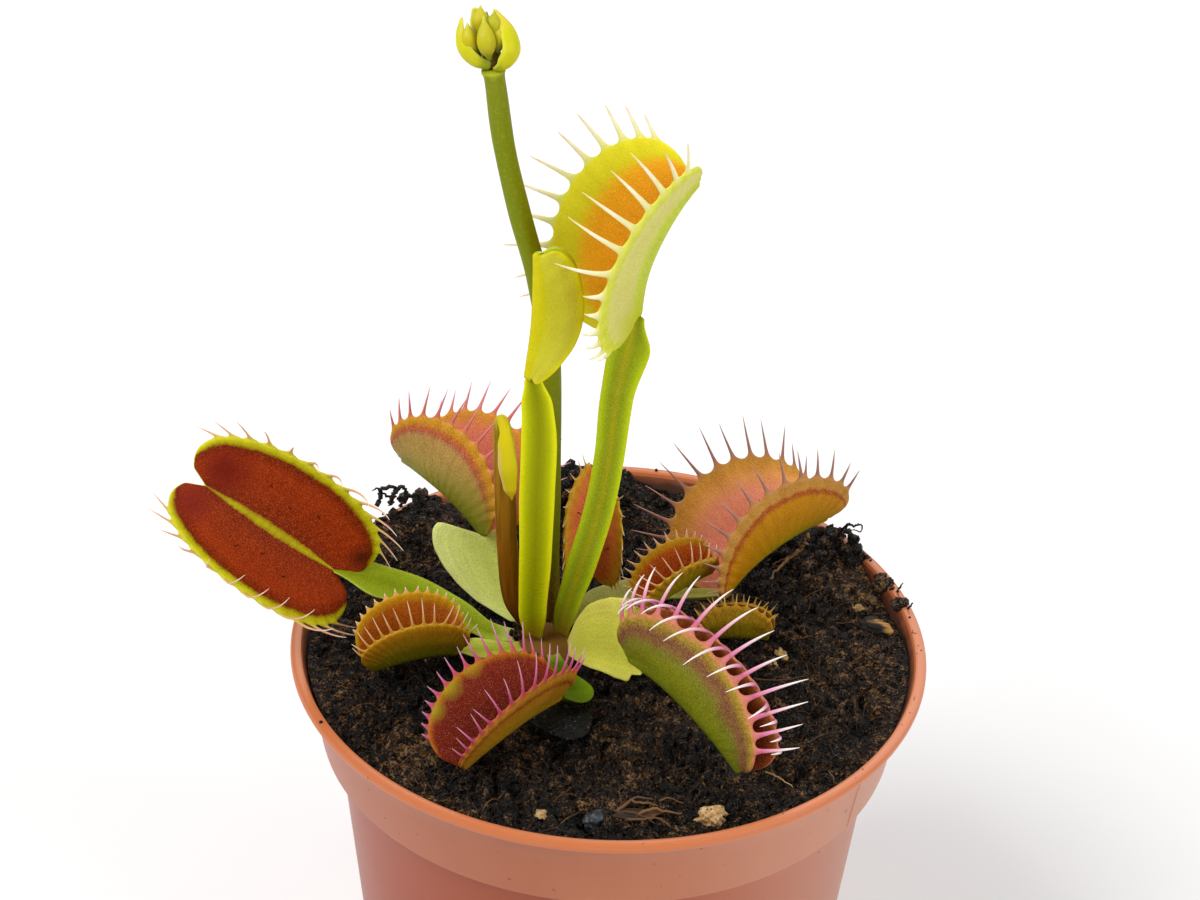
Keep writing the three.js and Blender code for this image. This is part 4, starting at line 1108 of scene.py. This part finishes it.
def make_fibres(sizes):
    rng = np.random.default_rng(23)
    pieces, steps = [], 7
    for k in range(sizes.fibres):
        x, y, _ = scattered(rng, 41.0)
        heading, curl = rng.random() * FULL_TURN, rng.normal(0, 0.3)
        step = (rng.uniform(1.2, 5.5) if k % 9 else rng.uniform(5, 10)) / (steps - 1)
        lift, trail = rng.uniform(0.0, 0.7), []
        for j in range(steps):
            if math.hypot(x, y) > 41.6:
                break
            hop = lift * math.sin(math.pi * j / (steps - 1)) + 0.05
            trail.append((x, y, peat_height(x, y) + hop + 0.1))
            heading += curl * 0.5 + rng.normal(0, 0.25)
            x, y = x + step * math.cos(heading), y + step * math.sin(heading)
        if len(trail) > 3:
            pieces.append((*strand(trail, rng.uniform(0.04, 0.1)), float(rng.beta(1.2, 3.2))))
    return settle(gathered("peat_fibres", pieces), "damp_peat", material=fibre_finish())


# ---- things lying on the soil ----------------------------------------------------------------

def laid(ob, co, turn, at):
    """Turns a shape about the upright axis by degrees and puts it in its place."""
    a = math.radians(turn)
    spin = np.array([[math.cos(a), math.sin(a), 0], [-math.sin(a), math.cos(a), 0], [0, 0, 1]])
    move_points(ob, (co @ spin + at) * MM)
    return ob


def lump(name, at, size, turn, seed, levels=4, rough=0.18, facets=0.0):
    """A stone: a ball pressed to size, with hollows and knobs."""
    deselect_all()
    bpy.ops.mesh.primitive_ico_sphere_add(subdivisions=levels, radius=1)
    ob = added(name)
    out = []
    for v in map(Vector, points_of(ob)):
        k = 1 + rough * noise.fractal(v * 1.3 + Vector((seed, 0, 0)), 0.8, 2.0, 4)
        k -= 0.5 * rough * noise.voronoi(v * 2.2 + Vector((0, seed, 0)))[0][0]
        out.append(v * (k * (1 - facets) + facets * round(k * 9) / 9))
    return laid(ob, np.array(out) * size, turn, at)


def sheet(name, columns, rows, shape, turn, at):
    """A thin sheet, bent by a function of places from 0 to 1 on it."""
    ob, column, row = grid(name, columns, rows)
    laid(ob, np.stack(shape(column / columns, row / rows), -1), turn, at)
    return smooth(modify(ob, "SOLIDIFY", thickness=0.00022, offset=0))


def stone_finish(name, stops, roughness, bump, pores=0.0):
    f = Finish(name, roughness, 0.45)
    broad, fine = f.noise(420, 4, 0.65), f.noise(2400, 3, 0.6)
    colour, height = f.ramp(f.times(fine, 0.4, f.times(broad, 0.6)), stops), f.times(fine, 0.5, broad)
    if pores:
        pit = f.fade(f.cells(1700.0), 0.16, 0.3, 1, 0)
        colour = f.cover(colour, pit, pores, "3c2a18")
        height = f.math("SUBTRACT", height, pit)
    return f.finish(colour, height, bump, 0.0003)


def chip_finish():
    """Dark bark with a pale broken end."""
    f = Finish("bark", 0.7, 0.3)
    grain = f.noise(500, 4, 0.65, stretch=(0.3, 1, 1))
    colour = f.ramp(grain, "0.3:0a0604 0.55:1c120a 0.75:4c331e")
    end = f.fade(f.times(grain, 0.1, f.axis(0)), 0.435, 0.45)
    return f.finish(f.cover(colour, end, 0.9, "c4904c"), grain, 0.7, 0.0004)


def peel_finish():
    f = Finish("bark_peel", 0.6, 0.35)
    grain = f.noise(420, 4, 0.65, stretch=(0.2, 1, 1))
    return f.finish(f.ramp(grain, "0.34:180d06 0.5:3c2412 0.64:6a4420 0.78:946434"), grain, 0.7, 0.0003)


def dead_finish():
    f = Finish("dead_leaf", 0.4, 0.2)
    broad, fine = f.noise(260, 4, 0.6), f.noise(2200, 2, 0.6)
    colour = f.ramp(broad, "0.4:060607 0.58:121416 0.75:2a2e30")
    colour = f.cover(colour, f.fade(f.noise(3000, 1), 0.68, 0.72), 0.5, "8a8c88")
    return f.finish(colour, f.math("ADD", broad, fine), 0.7, 0.0008)


def curl_shape(u, v):
    """A rolled strip of bark with ragged ends."""
    wrap = np.radians(-60 + 250 * v)
    radius = 0.8 + 0.22 * np.sin(5 * u + 2 * v) + 0.1 * np.sin(23 * v + 4 * u)
    jag = 1.3 * np.sin(17 * v + 3) * (2 * np.abs(u - 0.5)) ** 3 * np.sign(u - 0.5)
    z = radius * np.sin(wrap) * 0.75 + 0.25 * np.sin(3 * u)
    return (u - 0.5) * 5.6 + jag, radius * np.cos(wrap) * 1.2, z


def dead_shape(u, v):
    """A leaf that sags at both edges, widest past its middle."""
    u, v = u * 2 - 1, v * 2 - 1
    half = np.interp(u, [-1, -0.6, -0.1, 0.45, 0.85, 1], [0.05, 0.42, 0.82, 1.0, 0.82, 0.4])
    y = (v + 0.2 * u) * 3.3 * half
    z = 0.5 * np.cos(1.5 * u) - 0.7 * np.abs(v) ** 1.3 * half + 0.09 * y + 0.1 * np.sin(5 * u - 3 * v)
    return u * 4.9, y, z


def make_stones():
    ob = lump("pale_stone_shape", (14.4, -35.7, 73.1), (2.2, 1.6, 1.45), 10, 5.3, rough=0.4, facets=0.4)
    settle(ob, "pale_stone", "pale_stone",
           material=stone_finish("pale_stone", "0.35:7c5020 0.5:b8905a 0.62:dcc49c", 0.8, 0.7, 0.7))
    ob = lump("dark_stone_shape", (-1.0, -37.4, 73.4), (1.8, 1.4, 1.2), 40, 7.4, rough=0.2)
    settle(ob, "dark_stone", "dark_stone",
           material=stone_finish("dark_stone", "0.36:0c0e10 0.52:20262a 0.66:6a747c", 0.4, 0.9))
    ob = lump("bark_chip_shape", (38.0, 7.6, 73.8), (2.7, 1.5, 1.2), -20, 2.2, rough=0.25, facets=0.5)
    settle(ob, "bark", "bark_chip", material=chip_finish())
    ob = sheet("bark_curl_shape", 30, 14, curl_shape, 12, (4.8, -36.8, 73.6))
    settle(ob, "bark", "bark_curl", material=peel_finish())
    ob = sheet("old_leaf_shape", 26, 20, dead_shape, -8, (-6.9, -18.0, 74.4))
    settle(ob, "dead_leaf", "old_leaf", material=dead_finish())


# bits of straw and root that stand out: path, radius, tone
TWIGS = [
    ([(28.4, 22.6, 79.2), (28, 22, 77.5), (27.2, 21.6, 76.4), (25.9, 20.9, 75.6), (24.6, 19.4, 75),
      (23.2, 17.6, 74.4)], 0.4, 0.72),
    ([(25.9, 20.9, 75.6), (24.9, 21.2, 75.2), (23.6, 20.6, 74.8)], 0.18, 0.7),
    ([(1.8, -36.6, 74), (3.6, -35.8, 75.2), (5.6, -36.2, 75.3), (7.6, -35.8, 74.6)], 0.3, 0.6),
    ([(2.4, -35.4, 73.8), (4.4, -34.6, 75), (6.8, -34.8, 74.8), (8.6, -34, 74.2)], 0.22, 0.52),
    ([(4.2, -37.6, 74), (6.2, -37, 75), (8.4, -37.2, 74.9), (10.4, -36.6, 74.2)], 0.28, 0.66),
    ([(3, -38, 73.8), (5, -38.6, 74.6), (7.2, -38.4, 74.6), (9, -39.2, 74)], 0.24, 0.55),
    ([(6.4, -35.2, 74.2), (8.4, -34.8, 75.2), (10.6, -35, 74.6)], 0.2, 0.6),
    ([(1, -36, 73.8), (2.6, -37.2, 74.6), (4.8, -38, 74.9), (6.8, -39.2, 74.4)], 0.2, 0.45),
    ([(20.5, -6, 73.9), (22.8, -6.8, 74.3), (25.5, -6.4, 74.4), (28, -5, 74)], 0.14, 0.5),
    ([(21.8, -26.8, 73.9), (23.6, -28.2, 74.1), (25.4, -29.8, 73.9)], 0.16, 1),
    ([(-35.2, 30.4, 75.8), (-34.7, 30.3, 77.4), (-34.6, 30.5, 78.6), (-33.5, 30.6, 79.2), (-32.5, 30.5, 78.9),
      (-32.7, 30.6, 77.9), (-33.6, 30.4, 77.5), (-34.4, 30.2, 78.1)], 0.42, 0.02),
    ([(-33.2, 30.5, 75.9), (-32.9, 30.5, 77.3), (-32.3, 30.6, 78.5), (-31.5, 30.5, 79.3), (-30.9, 30.4, 78.3),
      (-31.2, 30.5, 77.2), (-32.2, 30.6, 77)], 0.45, 0.02),
    ([(-30.9, 30.4, 78.3), (-30.1, 30.4, 77.6), (-29.4, 30.5, 78.2), (-28.6, 30.5, 77.2),
      (-27.9, 30.5, 76.2)], 0.36, 0.02),
    ([(-34.6, 30.5, 78.6), (-35.3, 30.4, 78.9), (-35.9, 30.2, 78.5)], 0.2, 0.02),
    ([(33.2, 25.8, 76.8), (34, 25.7, 78.2), (34.8, 25.5, 79.2), (35.5, 25.4, 78.7), (36, 25.5, 79.2),
      (36.8, 25.6, 78.6), (36.4, 25.5, 77.8), (35.6, 25.6, 78.2)], 0.24, 0.05),
    ([(34.8, 25.5, 79.2), (34.3, 25.4, 78.4), (34.9, 25.5, 77.8), (35.6, 25.6, 78.2)], 0.18, 0.05),
    ([(41.6, 14.6, 75), (42, 14.6, 76), (42.3, 14.4, 76.8)], 0.22, 0.05),
    ([(42.9, 10.4, 75.1), (43.3, 10.3, 75.8), (43.5, 10, 76.5)], 0.2, 0.05),
]
# grit that stands out: place, size
GRITS = [((-8.2, -37.4, 73.6), 1), ((-23.5, 18.5, 74), 0.7), ((-23.6, 8.2, 73.4), 0.75),
         ((24.6, 0.6, 73.3), 1.1), ((23.4, -1.4, 73.2), 0.6), ((36, 12.6, 73.3), 0.8)]


def make_litter():
    rng = np.random.default_rng(3)
    pieces = []
    for points, radius, tone in TWIGS:
        trail = path(points, np.linspace(0, 1, 4 * len(points)))
        trail[1:-1] += rng.normal(0, radius * 0.3, trail[1:-1].shape)
        pieces.append((*strand(trail, radius, 8), tone))
    settle(gathered("roots_and_straw", pieces), "bark", material=fibre_finish(), angle=60)
    grits = [lump("grit", at, (size, size * 0.8, size * 0.7), 40 * k, 1.7 * k, levels=3, rough=0.6)
             for k, (at, size) in enumerate(GRITS)]
    settle(joined(grits, "grit_shape"), "pale_stone",
           material=stone_finish("pale_grit", "0.3:5a3c1c 0.5:a07c44 0.7:d4bc88", 0.8, 0.6))


# ---- crown and flower ------------------------------------------------------------------------

CROWN_AT = (-9, 2)
CROWN_PROFILE = [(0, 58), (2.6, 59), (4.8, 62), (5.6, 66), (5.1, 70), (4.5, 72.6), (3.2, 74), (0, 74.4)]


def make_crown(around=48, along=24):
    """The white bulb of overlapping leaf bases, mostly below the soil."""
    ob, column, row = grid("crown_shape", around, along)
    a, t = FULL_TURN * column / around, row / along
    prof = path([(r, 0, z) for r, z in CROWN_PROFILE], t)
    r = np.maximum(prof[:, 0], 0) * (1 + 0.05 * np.abs(np.sin(2.5 * a + 3 * t)) * np.sin(np.pi * t))
    x, y = CROWN_AT[0] + r * np.cos(a), CROWN_AT[1] + r * np.sin(a)
    move_points(ob, np.stack([x, y, prof[:, 2]], -1) * MM)
    smooth(merged(ob))
    f = Finish("bulb", 0.7, 0.08, (0.05, (1, 0.8, 0.5), 0.0005))
    streak = f.noise(500, 3, 0.6, stretch=(1, 1, 0.2))
    colour = f.ramp(streak, "0.3:8a7040 0.55:b8a870 0.75:d4cc9c")
    colour = f.mix(f.fade(f.axis(2), 0.66, 0.69, 0, 0.96), colour, "6e4a12")
    return settle(ob, "bulb", "crown", material=f.finish(colour, streak, 0.3, 0.0002))


SCAPE = [(-8.8, 4.3, 74.8), (-9.1, 4.6, 86), (-9.2, 4.6, 98), (-9.4, 4.6, 110), (-9.9, 4.5, 122),
         (-11.6, 4.3, 132), (-14.2, 4.1, 142), (-16.4, 4, 152), (-17.6, 4, 160.5), (-18, 4, 163.2)]
# buds: lowest point, middle, tip, radius, how green
BUDS = {
    "bud_left": ((-19.6, 3.8, 164.6), (-21, 3.9, 167), (-21.4, 4.6, 169.3), 1.05, 0.1),
    "bud_back": ((-18.4, 5, 165), (-19.75, 5.6, 168.8), (-19.8, 6.4, 170.9), 1.2, 0.2),
    "bud_right": ((-17.6, 3.8, 164.6), (-17.2, 4.4, 167.3), (-17.1, 5.2, 169.2), 1.0, 0.3),
    "bud_top": ((-18.2, 5, 165), (-18.05, 5.1, 168.6), (-18, 5.8, 170.5), 1.1, 0.9),
    "bud_front": ((-18.3, 2.9, 164.6), (-18.85, 2.9, 167.2), (-19.35, 4.6, 170.4), 1.25, 0.35),
    "bud_middle": ((-18.6, 5.2, 164.8), (-19.2, 6.4, 167.6), (-19, 7, 169.8), 1.1, 0.5),
}
BUD_DROP = ([0, 0.1, 0.2, 0.32, 0.45, 0.55, 0.66, 0.77, 0.86, 0.93, 1.0],
            [0.3, 0.32, 0.45, 0.82, 0.98, 1.0, 0.9, 0.62, 0.3, 0.14, 0.04])
# bracts: path, half widths, way they face
BRACTS = {
    "bract_left": ([(-18.3, 3.4, 163.4), (-20.6, 3.2, 164), (-22.2, 3.7, 165.5), (-22.6, 4.6, 167.4),
                    (-22.1, 5.6, 169.4)], [0.9, 1.9, 2.1, 1.3, 0.15], (-1, -0.5, -0.1)),
    "bract_right": ([(-17.5, 3.4, 163), (-16, 3, 163.9), (-14.8, 3.6, 165.8), (-15.6, 4.8, 168.2),
                     (-18.1, 6.3, 170.4)], [0.9, 2.2, 2.6, 2.0, 0.15], (1, -0.5, -0.1)),
    "bract_back": ([(-18, 4.9, 163.2), (-18.6, 6.9, 164.2), (-19.4, 8, 166.2), (-20.2, 8.3, 168.2),
                    (-20.7, 8, 169.6)], [0.8, 1.8, 2.0, 1.3, 0.15], (0, 1, -0.1)),
}
BRACT_CURVE = np.radians(75)


def make_scape():
    """The flower stalk, a little ribbed, and the head that carries the buds."""
    def section(a, t):
        r = (1.72 - 0.34 * t + 0.25 * np.exp(-((t - 0.985) / 0.02) ** 2) + 0.035 * np.sin(5 * a + 2 * t)
             + 0.03 * np.sin(40 * t))
        return r * np.cos(a), r * np.sin(a)

    ob = tube("flower_stalk_shape", 24, 90, SCAPE, (0, -1, 0.05), section)
    seat = lump("flower_seat", (-18.1, 4.4, 164.5), (1.25, 1.3, 1.7), 0, 2.0, levels=3)
    ob = joined([ob, seat], "flower_stalk_shape")
    f = Finish("stalk_green", 0.5, 0.12, (0.12, (1, 0.7, 0.2), 0.0008))
    fine, streak = f.noise(2200, 3, 0.6), f.noise(260, 3, 0.6, stretch=(1, 1, 0.15))
    colour = f.ramp(f.wander(f.layer("along"), streak, 0.2),
                    "0.02:6a4a14 0.12:6a7008 0.6:7a8404 0.78:748004 0.96:7c8412 1:a0a81c")
    colour = f.cover(colour, f.fade(fine, 0.5, 0.7), 0.3, "a09c38")
    skin = f.finish(colour, f.math("ADD", fine, streak), 0.4, 0.00015)
    return settle(ob, "stalk_green", "flower_stalk", material=skin)


def make_bud(name, low, middle, tip, radius, green):
    """A bud: a drop with five faint seams, a short stalk below and a pointed tip."""
    def section(a, t):
        r = radius * np.interp(t, *BUD_DROP) * (1 + 0.04 * np.cos(5 * a))
        return r * np.cos(a), r * np.sin(a)

    ob = tube(name + "_shape", 20, 20, [low, middle, tip], (0.1, -1, 0.3), section)
    f = Finish(name + "_skin", 0.42, 0.2, (0.12, (1, 0.7, 0.2), 0.0006))
    fine = f.noise(1800, 3, 0.6)
    colour = f.ramp(f.wander(f.layer("along"), fine, 0.15),
                    "0.1:5a6008 0.3:a89c08 0.6:c8b818 0.85:c8c030 1:d8cc50")
    colour = f.cover(colour, f.noise(350, 2), green, "7a9420")
    return settle(ob, "bud_yellow", name, material=f.finish(colour, fine, 0.3, 0.0001))


def make_bract(name, points, half, face, around=14, along=22):
    """A cupped scale below the buds."""
    ob, column, row = grid(name + "_shape", around, along)
    a, t = 2 * column / around - 1, row / along
    at, _, side, out = path_frame(points, t, face)
    cup, bend = BRACT_CURVE * a, np.interp(t, np.linspace(0, 1, len(half)), half) / BRACT_CURVE
    co = at + side * (bend * np.sin(cup))[:, None] - out * (bend * (1 - np.cos(cup)))[:, None]
    move_points(ob, co * MM)
    tag(ob, across=np.abs(a), along=t)
    smooth(modify(ob, "SOLIDIFY", thickness=0.0004, offset=0))
    f = Finish(name + "_skin", 0.42, 0.2, (0.15, (1, 0.7, 0.2), 0.0006))
    fine, streak = f.noise(1800, 3, 0.6), f.noise(420, 3, 0.6, stretch=(1, 1, 0.25))
    colour = f.ramp(f.wander(f.layer("along"), streak, 0.5), "0:8c9408 0.3:c0bc08 0.7:ccc80c 1:dcc848")
    colour = f.cover(colour, f.fade(f.layer("across"), 0.7, 1), 0.5, "dde058")
    skin = f.finish(colour, f.math("ADD", fine, streak), 0.35, 0.00012)
    return settle(ob, "bract_green", name, material=skin)


# ---- stage -----------------------------------------------------------------------------------

CAMERA_AT = (-2.31, -398.47, 371.72)
CAMERA_RIGHT = (0.99926, 0.02128, 0.03208)
CAMERA_UP = (-0.03849, 0.55234, 0.83273)
CAMERA_LENS = 105.0


def lamp(name, at, aim, size, power):
    deselect_all()
    bpy.ops.object.light_add(type="AREA", location=at)
    ob = bpy.context.active_object
    ob.name, ob.data.shape = name, "RECTANGLE"
    ob.data.size, ob.data.size_y = size
    ob.data.energy = power
    ob.rotation_euler = (Vector(aim) - Vector(at)).to_track_quat("-Z", "Y").to_euler()


def make_stage(stage):
    deselect_all()
    bpy.ops.mesh.primitive_plane_add(size=stage.floor_width)
    floor = added("floor")
    f = Finish("floor_paper", 0.85, 0.2)
    colour = f.ramp(f.noise(12, 2), "0.4:f0f0f0 0.6:f3f3f3")
    floor.data.materials.append(f.finish(colour, f.noise(600, 2), 0.02, 0.0001))
    world = bpy.data.worlds.new("studio")
    world.use_nodes = True
    sky = world.node_tree.nodes["Background"].inputs
    sky["Color"].default_value, sky["Strength"].default_value = (1, 1, 1, 1), stage.sky
    bpy.context.scene.world = world
    lamp("key_light", (-0.55, -0.35, 0.85), (0, 0, 0.09), (0.6, 0.6), stage.key)
    lamp("fill_light", (0.75, -0.45, 0.5), (0, 0, 0.08), (0.7, 0.7), stage.fill)
    lamp("back_light", (0.1, 0.8, 0.7), (0, 0, 0.1), (0.8, 0.5), stage.back)
    deselect_all()
    bpy.ops.object.camera_add()
    camera = bpy.context.active_object
    camera.name = "camera"
    right, up = Vector(CAMERA_RIGHT), Vector(CAMERA_UP)
    turn = Matrix((right, up, right.cross(up))).transposed().to_4x4()
    camera.matrix_world = Matrix.Translation(Vector(CAMERA_AT) * MM) @ turn
    camera.data.lens, camera.data.sensor_width = CAMERA_LENS, 36
    camera.data.clip_start, camera.data.clip_end = 0.01, 20
    bpy.context.scene.camera = camera
    bpy.context.scene.view_settings.view_transform = "Standard"


# ---- settings that a user would change ---------------------------------------------------------

def colour_prop(name, description, code):
    return FloatVectorProperty(name=name, description=description, subtype="COLOR", size=3, min=0, max=1,
                               default=tint(code))


class FlytrapSizes(bpy.types.PropertyGroup):
    """Sizes and amounts."""
    mould_line: FloatProperty(
        name="Mould line", description="How far the mould line stands out of the pot", default=0.00012,
        unit="LENGTH")
    soil_cells: IntProperty(
        name="Soil cells", description="Cells across the top of the soil", default=270, min=20, max=400)
    crumbs: IntProperty(name="Crumbs", description="Loose crumbs of peat on the soil", default=3150, min=0)
    fibres: IntProperty(name="Fibres", description="Fibres of peat on the soil", default=1500, min=0)


class FlytrapColours(bpy.types.PropertyGroup):
    """Colours of the pot."""
    pot_deep: colour_prop("Pot, deep", "The deeper of the pot's two terracotta tones", "a86242")
    pot_pale: colour_prop("Pot, pale", "The paler of the pot's two terracotta tones", "b67150")
    # the lip colour is a painted glow of the light through the lip
    lip: colour_prop("Pot lip", "The pot's lip, which lets some light through", "c87242")


class FlytrapStage(bpy.types.PropertyGroup):
    """Floor and light."""
    floor_width: FloatProperty(name="Floor", description="Width of the floor", default=6.0, unit="LENGTH")
    sky: FloatProperty(name="Sky", description="Strength of the even light", default=0.35, min=0)
    key: FloatProperty(name="Key", description="Power of the key light", default=8.0, min=0, unit="POWER")
    fill: FloatProperty(name="Fill", description="Power of the fill light", default=4.8, min=0, unit="POWER")
    back: FloatProperty(name="Back", description="Power of the back light", default=4.5, min=0, unit="POWER")


# ---- operators -------------------------------------------------------------------------------

class FLYTRAP_OT_pot(bpy.types.Operator):
    """Builds the nursery pot"""
    bl_idname = "flytrap.pot"
    bl_label = "Nursery pot"

    def execute(self, context):
        make_pot(context.scene.flytrap_sizes, context.scene.flytrap_colours)
        return {"FINISHED"}


class FLYTRAP_OT_soil(bpy.types.Operator):
    """Builds the soil with its crumbs and fibres"""
    bl_idname = "flytrap.soil"
    bl_label = "Soil"

    def execute(self, context):
        for make in (make_soil, make_crumbs, make_fibres):
            make(context.scene.flytrap_sizes)
        return {"FINISHED"}


class FLYTRAP_OT_stones(bpy.types.Operator):
    """Builds the stones, bark, dead leaf, roots and grit on the soil"""
    bl_idname = "flytrap.stones"
    bl_label = "Stones and litter"

    def execute(self, context):
        make_stones()
        make_litter()
        return {"FINISHED"}


class FLYTRAP_OT_crown(bpy.types.Operator):
    """Builds the bulb that the leaves grow from"""
    bl_idname = "flytrap.crown"
    bl_label = "Crown"

    def execute(self, context):
        make_crown()
        return {"FINISHED"}


class FLYTRAP_OT_leaves(bpy.types.Operator):
    """Builds the leaves, each with its stalk, trap and teeth"""
    bl_idname = "flytrap.leaves"
    bl_label = "Leaves"

    def execute(self, context):
        for seed, (name, spec) in enumerate(LEAVES.items(), 1):
            make_leaf(name, spec, seed)
        make_young_leaf("young_leaf")
        return {"FINISHED"}


class FLYTRAP_OT_flower(bpy.types.Operator):
    """Builds the flower stalk with its bracts and buds"""
    bl_idname = "flytrap.flower"
    bl_label = "Flower stalk"

    def execute(self, context):
        make_scape()
        for make, specs in ((make_bract, BRACTS), (make_bud, BUDS)):
            for name, spec in specs.items():
                make(name, *spec)
        return {"FINISHED"}


class FLYTRAP_OT_stage(bpy.types.Operator):
    """Sets the floor, the lights and the camera"""
    bl_idname = "flytrap.stage"
    bl_label = "Stage"

    def execute(self, context):
        make_stage(context.scene.flytrap_stage)
        return {"FINISHED"}


STEPS = (FLYTRAP_OT_pot, FLYTRAP_OT_soil, FLYTRAP_OT_stones, FLYTRAP_OT_crown, FLYTRAP_OT_leaves,
         FLYTRAP_OT_flower, FLYTRAP_OT_stage)
GROUPS = {"flytrap_sizes": FlytrapSizes, "flytrap_colours": FlytrapColours, "flytrap_stage": FlytrapStage}


class FLYTRAP_PT_panel(bpy.types.Panel):
    """Lists the building steps and their settings"""
    bl_idname = "FLYTRAP_PT_panel"
    bl_label = "Venus flytrap"
    bl_space_type = "VIEW_3D"
    bl_region_type = "UI"
    bl_category = "Flytrap"

    def draw(self, context):
        for key, group in GROUPS.items():
            for setting in group.__annotations__:
                self.layout.prop(getattr(context.scene, key), setting)
        for step in STEPS:
            self.layout.operator(step.bl_idname)


def register():
    for cls in (*GROUPS.values(), *STEPS, FLYTRAP_PT_panel):
        bpy.utils.register_class(cls)
    for key, group in GROUPS.items():
        setattr(bpy.types.Scene, key, PointerProperty(type=group))


def unregister():
    for key in GROUPS:
        delattr(bpy.types.Scene, key)
    for cls in (FLYTRAP_PT_panel, *STEPS[::-1], *GROUPS.values()):
        bpy.utils.unregister_class(cls)


def main():
    register()
    for step in STEPS:
        area, verb = step.bl_idname.split(".")
        if getattr(getattr(bpy.ops, area), verb)() != {"FINISHED"}:
            raise RuntimeError(f"{step.bl_label} was not built")


if __name__ == "__main__":
    main()
